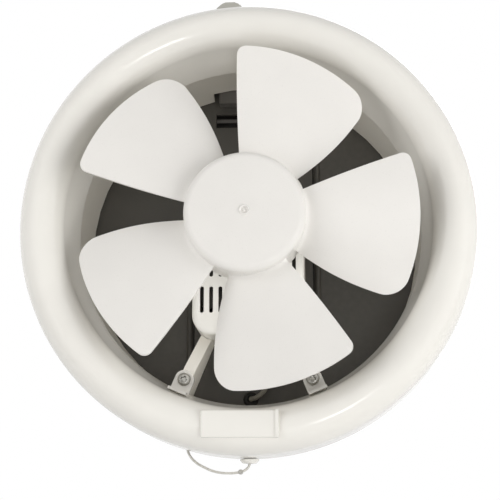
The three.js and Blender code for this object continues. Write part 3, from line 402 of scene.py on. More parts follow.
def turned_about_axis(piece: Object, angle: float) -> Object:
    """Turns a piece about the fan's axis, from straight down towards -X, by an angle in degrees."""
    piece.data.transform(Matrix.Rotation(math.radians(angle), 4, "Y"))
    return piece


# Node trees


class Wiring:
    """A node tree that is wired up by short calls."""

    def __init__(self, tree: bpy.types.NodeTree) -> None:
        """Takes the tree that nodes are added to."""
        self.tree = tree

    @classmethod
    def fresh(cls, owner: Material | bpy.types.World) -> Wiring:
        """Empties the node tree of a material or of the world for new nodes."""
        owner.use_nodes = True
        owner.node_tree.nodes.clear()
        return cls(owner.node_tree)

    @staticmethod
    def socket(sockets: bpy.types.bpy_prop_collection, name: str) -> Socket:
        """Finds a socket by its identifier or its name, with _ for a space.

        Args:
            sockets: The node's inputs or outputs.
            name: The socket's identifier or name.

        Returns:
            The socket.

        Raises:
            KeyError: There is no such socket.
        """
        spaced = name.replace("_", " ")
        for label, wanted in (("identifier", name), ("identifier", spaced), ("name", spaced)):
            for socket in sockets:
                if getattr(socket, label) == wanted:
                    return socket
        raise KeyError(name)

    def add(self, kind: str, settings: dict[str, object] | None = None, **inputs: object) -> bpy.types.Node:
        """Adds a node, sets it up and fills or links its inputs.

        Args:
            kind: The node's type, without the ShaderNode in front.
            settings: The node's own properties.
            **inputs: Values, or sockets that are linked.

        Returns:
            The node.
        """
        node = self.tree.nodes.new(kind if kind.startswith("Node") else f"ShaderNode{kind}")
        for name, value in (settings or {}).items():
            setattr(node, name, value)
        for name, value in inputs.items():
            socket = self.socket(node.inputs, name)
            if isinstance(value, Socket):
                self.tree.links.new(value, socket)
            else:
                socket.default_value = value
        return node

    def get(
        self, kind: str, output: str, settings: dict[str, object] | None = None, **inputs: object
    ) -> Socket:
        """Adds a node and gives one of its outputs."""
        return self.socket(self.add(kind, settings, **inputs).outputs, output)

    def maths(self, operation: str, *values: object) -> Socket:
        """Adds a Math node with its values in order."""
        names = ("Value", "Value_001", "Value_002")
        return self.get("Math", "Value", {"operation": operation}, **dict(zip(names, values)))

    def ramp(self, value: Socket, low: float, high: float, to_low: float, to_high: float) -> Socket:
        """Adds a clamped Map Range node."""
        ranges = {"From_Min": low, "From_Max": high, "To_Min": to_low, "To_Max": to_high}
        return self.get("MapRange", "Result", {"clamp": True}, Value=value, **ranges)

    def blend(self, factor: object, first: object, second: object, kind: str = "MIX") -> Socket:
        """Adds a colour Mix node."""
        settings = {"data_type": "RGBA", "blend_type": kind, "clamp_factor": True}
        colours = {"Factor_Float": factor, "A_Color": first, "B_Color": second}
        return self.get("Mix", "Result_Color", settings, **colours)

    def shaded(self, colour: Socket, share: Socket) -> Socket:
        """Multiplies a colour by a share of grey."""
        grey = self.get("CombineColor", "Color", Red=share, Green=share, Blue=share)
        return self.blend(1.0, colour, grey, "MULTIPLY")


def opaque(colour: Colour) -> tuple[float, float, float, float]:
    """A colour as it shows on a standard screen, 0 to 255, as a linear value with alpha."""
    shares = [c / WHITE_LEVEL for c in colour]
    linear = [s / 12.92 if s <= 0.04045 else ((s + 0.055) / 1.055) ** 2.4 for s in shares]
    return (linear[0], linear[1], linear[2], 1.0)


NOISE_SPREAD = (0.3, 0.7)
FACING_UP = (0.1, 0.95)
DUST_PATCHES = (0.35, 0.75, 0.2, 1.0)
SHARP_EDGES = (0.53, 0.62)
WEAR_PATCHES = (0.35, 0.65, 0.2, 1.0)

Fill = Callable[[Wiring, bpy.types.bpy_prop_collection], dict[str, Socket]]


def node_group(name: str, **inputs: float | None) -> Callable[[Fill], Callable[[], bpy.types.NodeTree]]:
    """Turns a function that wires up a shader node group into one that builds it once and gives it.

    Args:
        name: The group's name.
        **inputs: The sockets that go in, each with its number, or None for a colour.

    Returns:
        The decorator. The function takes the wiring and the given sockets, and returns what comes out.
    """

    def decorate(fill: Fill) -> Callable[[], bpy.types.NodeTree]:
        """Wraps one function."""

        @functools.cache
        def build() -> bpy.types.NodeTree:
            """Builds the group at its first use."""
            tree = bpy.data.node_groups.new(name, "ShaderNodeTree")
            wiring = Wiring(tree)

            def port(label: str, side: str, is_colour: bool) -> bpy.types.NodeTreeInterfaceSocket:
                """Adds a socket to the group's outside."""
                kind = "NodeSocketColor" if is_colour else "NodeSocketFloat"
                return tree.interface.new_socket(name=label, in_out=side, socket_type=kind)

            for label, number in inputs.items():
                socket = port(label, "INPUT", number is None)
                if number is not None:
                    socket.default_value = number
            results = fill(wiring, wiring.add("NodeGroupInput").outputs)
            for label, socket in results.items():
                port(label, "OUTPUT", socket.type == "RGBA")
            wiring.add("NodeGroupOutput", **results)
            return tree

        return build

    return decorate


class Effect:
    """Shader node groups that several finishes share."""

    @staticmethod
    @node_group("mottle", Colour=None, Scale=40.0, Shift=0.03)
    def mottle(wiring: Wiring, given: bpy.types.bpy_prop_collection) -> dict[str, Socket]:
        """A colour that drifts a little lighter and darker over the surface."""
        place = wiring.get("TexCoord", "Object")
        broad = wiring.get("TexNoise", "Fac", Vector=place, Scale=given["Scale"], Detail=3.0)
        swing = wiring.ramp(broad, *NOISE_SPREAD, -1.0, 1.0)
        amount = wiring.maths("MULTIPLY_ADD", swing, given["Shift"], 1.0)
        return {"Colour": wiring.shaded(given["Colour"], amount)}

    @staticmethod
    @node_group("mould_grain", Scale=1500.0, Waves=0.3)
    def grain(wiring: Wiring, given: bpy.types.bpy_prop_collection) -> dict[str, Socket]:
        """The fine texture that a mould leaves, with its slow waviness."""
        place = wiring.get("TexCoord", "Object")
        fine = wiring.get("TexNoise", "Fac", Vector=place, Scale=given["Scale"], Detail=2.0)
        wide = wiring.get("TexNoise", "Fac", Vector=place, Scale=22.0, Detail=1.0)
        return {"Height": wiring.maths("MULTIPLY_ADD", wide, given["Waves"], fine), "Fine": fine}

    @staticmethod
    @node_group("settled_dust", Amount=0.1)
    def dust(wiring: Wiring, given: bpy.types.bpy_prop_collection) -> dict[str, Socket]:
        """Dust that settles where a surface faces up, in soft patches."""
        up = wiring.get("SeparateXYZ", "Z", Vector=wiring.get("NewGeometry", "Normal"))
        facing = wiring.ramp(up, *FACING_UP, 0.0, 1.0)
        place = wiring.get("TexCoord", "Object")
        patches = wiring.get("TexNoise", "Fac", Vector=place, Scale=90.0, Detail=5.0)
        mask = wiring.maths("MULTIPLY", facing, wiring.ramp(patches, *DUST_PATCHES))
        return {"Mask": wiring.maths("MULTIPLY", mask, given["Amount"])}

    @staticmethod
    @node_group("edge_wear", Amount=0.3)
    def edge_wear(wiring: Wiring, given: bpy.types.bpy_prop_collection) -> dict[str, Socket]:
        """Edges that are rubbed a little, broken up by a fine noise."""
        sharp = wiring.ramp(wiring.get("NewGeometry", "Pointiness"), *SHARP_EDGES, 0.0, 1.0)
        patches = wiring.get("TexNoise", "Fac", Vector=wiring.get("TexCoord", "Object"), Scale=260.0)
        mask = wiring.maths("MULTIPLY", sharp, wiring.ramp(patches, *WEAR_PATCHES))
        return {"Mask": wiring.maths("MULTIPLY", mask, given["Amount"])}

    @staticmethod
    @node_group("fine_lines", Pitch=0.001)
    def lines(wiring: Wiring, given: bpy.types.bpy_prop_collection) -> dict[str, Socket]:
        """Even fine lines along one axis, for stacked sheets and wound wire."""
        along = wiring.get("SeparateXYZ", "Y", Vector=wiring.get("TexCoord", "Object"))
        turns = wiring.maths("DIVIDE", along, given["Pitch"])
        return {"Height": wiring.maths("SINE", wiring.maths("MULTIPLY", turns, TURN))}

    @staticmethod
    @node_group("cord_twist", Strands=3.0, Pitch=0.004)
    def twist(wiring: Wiring, given: bpy.types.bpy_prop_collection) -> dict[str, Socket]:
        """The strands of a twisted cord, from the piece's own map of round and along."""
        split = wiring.add("SeparateXYZ", Vector=wiring.get("TexCoord", "UV"))
        round_it = wiring.maths("MULTIPLY", split.outputs["X"], given["Strands"])
        along = wiring.maths("DIVIDE", split.outputs["Y"], given["Pitch"])
        turns = wiring.maths("ADD", round_it, along)
        wave = wiring.maths("SINE", wiring.maths("MULTIPLY", turns, TURN))
        return {"Height": wiring.maths("ABSOLUTE", wave)}


# Finishes


COAT_ROUGHNESS = 0.08
DUST_ROUGHENS = 0.4
DUST_COLOUR = (176, 168, 152)
RUBBED_GAIN, RUBBED_LIFT = 1.12, 8
# How far the grooves of lines and strands darken the colour: painted shade, and dark joints between stacked
# sheets.
GROOVE_SHADE = (0.0, 0.6, 0.72, 1.0)
MOTTLE_SCALE = 38.0


@dataclass(frozen=True)
class Finish:
    """A finish of one material slot, with a colour as it shows on a screen."""

    slot: Slot
    colour: Colour
    roughness: float = 0.3
    uneven: float = 0.05
    grain_size: float = 0.7
    grain_depth: float = 0.02
    mottle: float = 0.02
    waves: float = 0.3
    dust: float = 0.05
    wear: float = 0.1
    metallic: float = 0.0
    coat: float = 0.0
    specular: float = 0.5
    transmission: float = 0.0
    sheen: float = 0.0
    line_pitch: float = 0.0
    line_depth: float = 0.0
    strands: float = 0.0

    def material(self) -> Material:
        """Builds the finish as a material.

        Returns:
            The material, named after its slot.
        """
        material = bpy.data.materials.new(self.slot.value)
        wiring = Wiring.fresh(material)
        groups = self._groups(wiring)
        fine, dust = groups["grain"].outputs["Fine"], groups["dust"].outputs["Mask"]
        rough = wiring.ramp(fine, *NOISE_SPREAD, self.roughness - self.uneven, self.roughness + self.uneven)
        shader = wiring.add(
            "BsdfPrincipled",
            Base_Color=self._colour(wiring, groups),
            Metallic=self.metallic,
            Roughness=wiring.maths("MULTIPLY_ADD", dust, DUST_ROUGHENS, rough),
            Normal=self._normal(wiring, groups),
            Specular_IOR_Level=self.specular,
            Transmission_Weight=self.transmission,
            Coat_Weight=self.coat,
            Coat_Roughness=COAT_ROUGHNESS,
            Sheen_Weight=self.sheen,
        )
        wiring.add("OutputMaterial", Surface=shader.outputs["BSDF"])
        return material

    def _groups(self, wiring: Wiring) -> dict[str, bpy.types.Node]:
        """Places the shared effects with this finish's own values.

        Args:
            wiring: The material's wiring.

        Returns:
            The group nodes by name.
        """

        def put(tree: bpy.types.NodeTree, **inputs: object) -> bpy.types.Node:
            """Places one group."""
            node = wiring.add("Group", {"node_tree": tree})
            for name, value in inputs.items():
                node.inputs[name].default_value = value
            return node

        groups = {
            "mottle": put(Effect.mottle(), Colour=opaque(self.colour), Scale=MOTTLE_SCALE, Shift=self.mottle),
            "grain": put(Effect.grain(), Scale=1 / (self.grain_size * MM), Waves=self.waves),
            "dust": put(Effect.dust(), Amount=self.dust),
            "wear": put(Effect.edge_wear(), Amount=self.wear),
        }
        if self.line_pitch > 0:
            groups["lines"] = put(Effect.lines(), Pitch=self.line_pitch * MM)
        if self.strands > 0:
            groups["twist"] = put(Effect.twist(), Strands=self.strands)
        return groups

    def _colour(self, wiring: Wiring, groups: dict[str, bpy.types.Node]) -> Socket:
        """Mottle, with rubbed edges a little lighter, dust over it, and the grooves of lines and strands
        darkened: painted shade in wound wire and cord strands, dark joints between stacked sheets.

        Args:
            wiring: The material's wiring.
            groups: The placed effects.

        Returns:
            The colour.
        """
        base = groups["mottle"].outputs["Colour"]
        lighter = tuple(min(WHITE_LEVEL, c * RUBBED_GAIN + RUBBED_LIFT) for c in self.colour)
        rubbed = wiring.blend(groups["wear"].outputs["Mask"], base, opaque(lighter))
        colour = wiring.blend(groups["dust"].outputs["Mask"], rubbed, opaque(DUST_COLOUR))
        # Painted shade in the grooves between wound turns and cord strands, and dark joints between stacked
        # sheets.
        for name in sorted(groups.keys() & {"lines", "twist"}):
            shade = wiring.ramp(groups[name].outputs["Height"], *GROOVE_SHADE)
            colour = wiring.shaded(colour, shade)
        return colour

    def _normal(self, wiring: Wiring, groups: dict[str, bpy.types.Node]) -> Socket:
        """The grain as a bump, with lines or strands over it.

        Args:
            wiring: The material's wiring.
            groups: The placed effects.

        Returns:
            The normal.
        """
        grain = groups["grain"].outputs["Height"]
        normal = wiring.get("Bump", "Normal", Strength=1.0, Distance=self.grain_depth * MM, Height=grain)
        for name in sorted(groups.keys() & {"lines", "twist"}):
            height, depth = groups[name].outputs["Height"], self.line_depth * MM
            normal = wiring.get("Bump", "Normal", Distance=depth, Height=height, Normal=normal)
        return normal


FINISHES = (
    Finish(Slot.GLOSS_IVORY, (236, 233, 226), 0.16, 0.02, 0.9, 0.004, 0.012, 0.8, 0.04, 0.15, coat=0.25),
    Finish(
        Slot.IMPELLER_IVORY, (232, 229, 224), 0.3, 0.03, 0.8, 0.002, 0.012, 0.8, 0.04, 0.15, specular=0.45,
    ),
    Finish(Slot.SATIN_IVORY, (229, 225, 216), 0.38, 0.05, 0.6, 0.012, 0.02, 0.5, 0.1, 0.1),
    Finish(Slot.WHITE_PLASTIC, (240, 238, 232), 0.36, 0.05, 0.5, 0.012, 0.015, 0.4, 0.06, 0.12),
    Finish(
        Slot.CLEAR_PLASTIC, (240, 237, 230), 0.24, 0.03, 1.2, 0.002, 0.03, 0.5, 0.04, 0.1, transmission=0.42,
    ),
    Finish(Slot.SHUTTER_GREY, (74, 71, 65), 0.5, 0.06, 0.5, 0.02, 0.05, 0.4, 0.12, 0.25),
    Finish(Slot.BOX_GREY, (101, 98, 94), 0.46, 0.06, 0.5, 0.02, 0.04, 0.4, 0.12, 0.25),
    Finish(Slot.OUTLET_GREY, (178, 176, 168), 0.44, 0.06, 0.5, 0.016, 0.03, 0.4, 0.08, 0.15),
    Finish(Slot.BLACK_RUBBER, (27, 25, 21), 0.62, 0.08, 0.4, 0.03, 0.1, 0.4, 0.15, 0.2, specular=0.35),
    Finish(Slot.GASKET_RUBBER, (45, 43, 41), 0.85, 0.05, 0.9, 0.25, 0.12, 0.2, 0.1, 0.1, specular=0.25),
    Finish(Slot.PLATED_STEEL, (156, 154, 148), 0.32, 0.08, 0.5, 0.008, 0.05, 0.3, 0.02, 0.1, metallic=1.0),
    Finish(
        Slot.CORE_IRON, (104, 101, 96), 0.5, 0.1, 0.6, 0.03, 0.1, 0.3, 0.05, 0.1, metallic=0.85,
        line_pitch=0.6, line_depth=0.05,
    ),
    Finish(
        Slot.WINDING, (158, 88, 48), 0.34, 0.06, 0.6, 0.01, 0.08, 0.2, 0.05, 0.05, metallic=0.4, coat=0.5,
        line_pitch=0.5, line_depth=0.12,
    ),
    Finish(Slot.BUSH_BRONZE, (172, 134, 72), 0.42, 0.1, 0.25, 0.02, 0.12, 0.2, 0.02, 0.1, metallic=1.0),
    # The white lead's colour is darkened to grey: painted shade, for a lead that lies in shadow.
    Finish(Slot.LEAD_WHITE, (146, 142, 133), 0.48, 0.05, 0.6, 0.01, 0.02, 0.4, 0.06, 0.05),
    Finish(
        Slot.PULL_CORD, (222, 219, 211), 0.85, 0.05, 0.15, 0.03, 0.05, 0.2, 0.05, 0.0, specular=0.2,
        sheen=0.3, strands=3.0, line_depth=0.16,
    ),
)


class Workshop:
    """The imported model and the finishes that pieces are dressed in."""

    def __init__(self, frame: dict[str, object]) -> None:
        """Makes every finish once.
        """
        self.nodes: dict[str, Object] = frame["nodes"]
        self.materials = {finish.slot: finish.material() for finish in FINISHES}

    def dress(self, piece: Object, slot: Slot) -> None:
        """Gives a piece one finish all over."""
        piece.data.materials.clear()
        piece.data.materials.append(self.materials[slot])

    def set_in(self, piece: Object, body: Body, slot: Slot, *nodes: str) -> Object:
        """Dresses a new piece, lets it ride and says which nodes it stands for.

        Args:
            piece: The finished piece.
            body: The body that it rides on.
            slot: Its finish.
            *nodes: The nodes that it replaces.

        Returns:
            The same piece.
        """
        self.dress(piece, slot)
        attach(piece, body.value)
        if nodes:
            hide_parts(*nodes)
        LOG.info("%s: %s, %s, %d faces", piece.name, body.value, slot.value, len(piece.data.polygons))
        return piece

    def keep(self, slot: Slot, *nodes: str) -> None:
        """Dresses nodes whose shape stays.

        Args:
            slot: Their finish.
            *nodes: Their names.
        """
        for node in nodes:
            self.dress(self.nodes[node], slot)
            LOG.info("%s: kept, %s", node, slot.value)

    def copy_of(self, node: str, name: str) -> Object:
        """A copy of a node with its doubles merged and its flat faces whole.

        Args:
            node: The node's name.
            name: The copy's name.

        Returns:
            The copy, whose edges can be finished.
        """
        piece = new_piece(name, self.nodes[node].data.copy())
        edit(piece)
        bpy.ops.mesh.customdata_custom_splitnormals_clear()
        merge_doubles()
        bpy.ops.mesh.dissolve_limited(angle_limit=math.radians(1.0))
        bpy.ops.object.mode_set(mode="OBJECT")
        return piece


class Assembly(ABC):
    """Pieces of the fan that are built together."""

    @abstractmethod
    def build(self, shop: Workshop) -> None:
        """Builds the pieces.

        Args:
            shop: The workshop that dresses them.
        """


@dataclass
class RoundedCase:
    """The outline that the motor's cover and cup share."""

    half: float = 33.6
    top: float = 34.0
    bottom: float = -65.5
    top_corner: float = 14.0
    bottom_corner: float = 12.0
    corner_steps: int = 12

    def block(self, name: str, front: float, rear: float, inset: float = 0.0, rim: float = 0.0) -> Object:
        """A block with this outline between two places on Y.

        Args:
            name: The piece's name.
            front: The front face's place.
            rear: The rear face's place.
            inset: How far the outline is drawn in.
            rim: The rounding of the front face's edge.

        Returns:
            The block.
        """
        half, low, high = self.half - inset, self.bottom + inset, self.top - inset
        piece = slab(name, (-half, front, low), (half, rear, high))
        edit(piece)
        middle = (low + high) / 2 * MM
        for is_top, corner in ((True, self.top_corner), (False, self.bottom_corner)):
            pick_edges(
                piece,
                lambda a, b: abs(a.y - b.y) > WELD and abs(a.x - b.x) < WELD and ((a.z > middle) == is_top)
                and abs(abs(a.x) - half * MM) < WELD,
            )
            bpy.ops.mesh.bevel(offset=(corner - inset) * MM, segments=self.corner_steps, affect="EDGES")
        if rim > 0:
            pick_edges(piece, lambda a, b: a.y < front * MM + WELD and b.y < front * MM + WELD)
            bpy.ops.mesh.bevel(offset=rim * MM, segments=6, affect="EDGES")
        close_edit()
        return piece


@dataclass
class FrontRing(Assembly):
    """The glossy bell-mouth ring with its lugs, and the bare plate on its lower front."""

    throat: float = 109.0
    mouth: float = 110.0
    throat_end: float = 105.5
    mouth_turn: float = -0.48
    crest: float = 124.5
    outer: float = 137.5
    wall: float = 2.4
    rear: float = -7.0
    crest_front: float = -54.0
    roll_rear: float = -36.0
    throat_front: float = -40.0
    throat_rear: float = -9.6
    arc_steps: int = 28
    lug_front: float = -27.0
    lug_rear: float = -24.3
    plate_left: float = -26.2
    plate_right: float = 18.2
    plate_top: float = -112.0
    plate_bottom: float = -127.9
    plate_lift: float = 1.3
    plate_rise: float = 3.4
    rib_width: float = 1.5
    rib_lift: float = 0.7
    rib_over: float = 0.3
    hole: float = 3.8
    hole_below: float = 3.0
    hole_above: float = 6.0
    edge: float = 0.6
    plate_edge: float = 0.9
    rib_edge: float = 0.3
    pad_columns: int = 28
    pad_rows: int = 16

    def outline(self) -> Outline:
        """The wall's closed outline of radius and Y."""
        inner, roll, wall = self.crest - self.mouth, self.outer - self.crest, self.wall
        depth, roll_depth = self.throat_front - self.crest_front, self.roll_rear - self.crest_front
        steps, turn = self.arc_steps, self.mouth_turn
        return [
            (self.outer - wall, self.rear),
            (self.outer, self.rear),
            *arc(self.crest, self.roll_rear, roll, roll_depth, 0, -0.25, steps),
            *arc(self.crest, self.throat_front, inner, depth, -0.25, turn, steps)[1:],
            (self.throat_end, self.throat_rear),
            (self.throat_end + wall, self.throat_rear),
            *arc(self.crest, self.throat_front, inner - wall, depth - wall, turn, -0.25, steps),
            *arc(self.crest, self.roll_rear, roll - wall, roll_depth - wall, -0.25, 0, steps)[1:],
        ]

    def front_at(self, x: float, z: float) -> float:
        """The ring's front face at a place across, in millimetres on Y."""
        radius = math.hypot(x, z)
        if radius > self.crest:
            share = min(1.0, (radius - self.crest) / (self.outer - self.crest))
            return self.roll_rear - (self.roll_rear - self.crest_front) * math.sqrt(1 - share**2)
        share = min(1.0, (self.crest - radius) / (self.crest - self.mouth))
        return self.throat_front - (self.throat_front - self.crest_front) * math.sqrt(1 - share**2)

    def plate_at(self, x: float, z: float) -> float:
        """The bare plate's face at a place across: a shallower curve than the ring's."""
        share = (math.hypot(x, z) - self.crest) / (self.crest - self.throat)
        return self.crest_front - self.plate_lift + self.plate_rise * share**2

    def pad(self, name: str, left: float, right: float, lift: float) -> Object:
        """A raised pad on the ring's front between two places on X.

        Args:
            name: The piece's name.
            left: The pad's left end.
            right: The pad's right end.
            lift: How far it stands before the plate's face.

        Returns:
            The pad, whose back lies inside the ring's wall.
        """
        clear_selection()
        bpy.ops.mesh.primitive_grid_add(
            x_subdivisions=self.pad_columns, y_subdivisions=self.pad_rows, size=1
        )
        piece = bpy.context.object
        piece.scale = ((right - left) * MM, (self.plate_top - self.plate_bottom) * MM, 1)
        piece.rotation_euler = (math.pi / 2, 0, 0)
        piece.location = ((left + right) / 2 * MM, 0, (self.plate_top + self.plate_bottom) / 2 * MM)
        settle(piece, name)
        for vertex in piece.data.vertices:
            vertex.co.y = (self.plate_at(vertex.co.x / MM, vertex.co.z / MM) - lift) * MM
        edit(piece)
        bpy.ops.mesh.select_all(action="SELECT")
        bpy.ops.mesh.extrude_region_move(TRANSFORM_OT_translate={"value": (0, self.outer * MM, 0)})
        mesh = bmesh.from_edit_mesh(piece.data)
        for vertex in mesh.verts:
            if vertex.select:
                vertex.co.y = (self.front_at(vertex.co.x / MM, vertex.co.z / MM) + self.wall / 2) * MM
        bmesh.update_edit_mesh(piece.data)
        close_edit()
        return piece

    def lug(self, angle: float) -> Object:
        """One lug inside the throat, at an angle from straight down."""
        foot = self.throat + self.wall / 2
        return turned_about_axis(tongue("lug", self.lug_front, self.lug_rear, foot), angle)

    def build(self, shop: Workshop) -> None:
        """Builds the ring and its plate."""
        ring = spun("ring_shell", self.outline())
        for angle in CLIP_ANGLES.values():
            carve(ring, self.lug(angle), "UNION")
        low, high = -self.outer - self.hole_below, -self.outer + self.hole_above
        hole = spun("hole", [(0, low), (self.hole, low), (self.hole, high), (0, high)], SMALL_STEPS)
        hole.data.transform(Matrix.Translation((0, PULL_Y * MM, 0)) @ Matrix.Rotation(math.pi / 2, 4, "X"))
        finish_edges(carve(ring, hole), self.edge, 2, SHARP)
        shop.set_in(ring, Body.ROOT, Slot.GLOSS_IVORY, "front_ring")
        plate = self.pad("label_plate", self.plate_left, self.plate_right, 0.0)
        shop.set_in(finish_edges(plate, self.plate_edge, 4, SHARP), Body.ROOT, Slot.GLOSS_IVORY)
        left = self.plate_right - self.rib_width
        rib = self.pad("label_plate_rib", left, self.plate_right + self.rib_over, self.rib_lift)
        shop.set_in(finish_edges(rib, self.rib_edge, 2, SHARP), Body.ROOT, Slot.GLOSS_IVORY)


CLIP_ANGLES = {"left": 22.5, "right": -22.5, "top": 180.0}
CLIP_CIRCLE = 99.5
PULL_Y = -13.0


def tongue(name: str, front: float, rear: float, foot: float, half: float = 5.75) -> Object:
    """A flat tongue with a round inner end, straight down from the axis.

    Args:
        name: The piece's name.
        front: Its front face's place on Y.
        rear: Its rear face's place on Y.
        foot: The radius at which its straight end lies.
        half: Half its width.

    Returns:
        The tongue.
    """
    piece = rod(name, half, front, rear, 0, -CLIP_CIRCLE, 48)
    edit(piece)
    pick_vertices(piece, lambda place: place.z < -CLIP_CIRCLE * MM + WELD)
    bpy.ops.transform.resize(value=(1, 1, 0), center_override=(0, 0, -CLIP_CIRCLE * MM))
    bpy.ops.transform.translate(value=(0, 0, (CLIP_CIRCLE - foot) * MM))
    close_edit()
    return piece


@dataclass
class RingClips(Assembly):
    """The clouded clear clips that hold the ring to the motor frame."""

    front: float = -29.3
    rear: float = -27.3
    leg_length: float = 14.0
    leg_thickness: float = 1.6
    foot: float = 108.4
    leg_sink: float = 0.2
    half: float = 5.75
    hole: float = 1.9
    edge: float = 0.45

    def build(self, shop: Workshop) -> None:
        """Builds three clips."""
        for side, angle in CLIP_ANGLES.items():
            clip = tongue(f"clear_clip_{side}", self.front, self.rear, self.foot, self.half)
            leg = slab(
                "leg",
                (-self.half, self.rear - self.leg_length, -self.foot),
                (self.half, self.rear - self.leg_sink, self.leg_thickness - self.foot),
            )
            carve(clip, leg, "UNION")
            carve(clip, rod("hole", self.hole, self.front - OVERCUT, self.rear + OVERCUT, 0, -CLIP_CIRCLE))
            finish_edges(turned_about_axis(clip, angle), self.edge, 3)
            shop.set_in(clip, Body.ROOT, Slot.CLEAR_PLASTIC, f"ring_clip_{side}")


@dataclass
class PanScrews(Assembly):
    """Pan-head screws with a cross recess, each in its node's place."""

    turns: dict[str, float] = field(
        default_factory=lambda: {
            "clip_screw_left": 28.0, "clip_screw_right": 8.0, "clip_screw_top": 51.0,
            "cover_screw_left": 17.0, "cover_screw_right": 62.0, "frame_screw_1": 12.0, "frame_screw_2": 40.0,
            "frame_screw_3": 71.0, "frame_screw_4": 25.0, "panel_screw_top": 33.0, "panel_screw_bottom": 66.0,
            "lid_screw": 49.0,
        }
    )
    height_share: float = 0.58
    shank_share: float = 0.38
    flat_share: float = 0.45
    dome_share: float = 0.55
    dome_height_share: float = 0.6
    dome_steps: int = 6
    arm_share: float = 0.58
    arm_width_share: float = 0.24
    recess_share: float = 0.85
    recess_taper: float = 0.62
    edge: float = 0.12

    def build(self, shop: Workshop) -> None:
        """Builds every screw."""
        for node, turn in self.turns.items():
            shop.set_in(self.screw(node, turn), Body.ROOT, Slot.PLATED_STEEL, node)

    def screw(self, node: str, turn: float) -> Object:
        """One screw, as large as its node.

        Args:
            node: The node that it stands for.
            turn: The recess's turn in degrees.

        Returns:
            The screw.
        """
        low, high = node_box(node)
        x, z = (low.x + high.x) / 2, (low.z + high.z) / 2
        head, front = (high.x - low.x) / 2, low.y
        height, shank, flat = head * self.height_share, head * self.shank_share, head * self.flat_share
        dome, rise = head * self.dome_share, height * self.dome_height_share
        outline = [
            (0, front),
            *arc(flat, front + rise, dome, rise, 0.75, 1.0, self.dome_steps),
            (head, front + height),
            (shank, front + height),
            (shank, high.y - shank),
            (0, high.y),
        ]
        piece = spun(f"{node}_turned", outline, SMALL_STEPS, x, z)
        reach, width, depth = head * self.arm_share, head * self.arm_width_share, height * self.recess_share
        arms = []
        for across, up in ((reach, width), (width, reach)):
            arm = slab("arm", (-across, front - OVERCUT, -up), (across, front + depth, up))
            edit(arm)
            pick_vertices(arm, lambda place: place.y > front * MM + WELD)
            narrower = (self.recess_taper, 1, self.recess_taper)
            bpy.ops.transform.resize(value=narrower, center_override=(0, 0, 0))
            close_edit()
            arms.append(arm)
        cross = carve(arms[0], arms[1], "UNION")
        place = Matrix.Translation((x * MM, 0, z * MM)) @ Matrix.Rotation(math.radians(turn), 4, "Y")
        cross.data.transform(place)
        return finish_edges(carve(piece, cross), self.edge, 2)


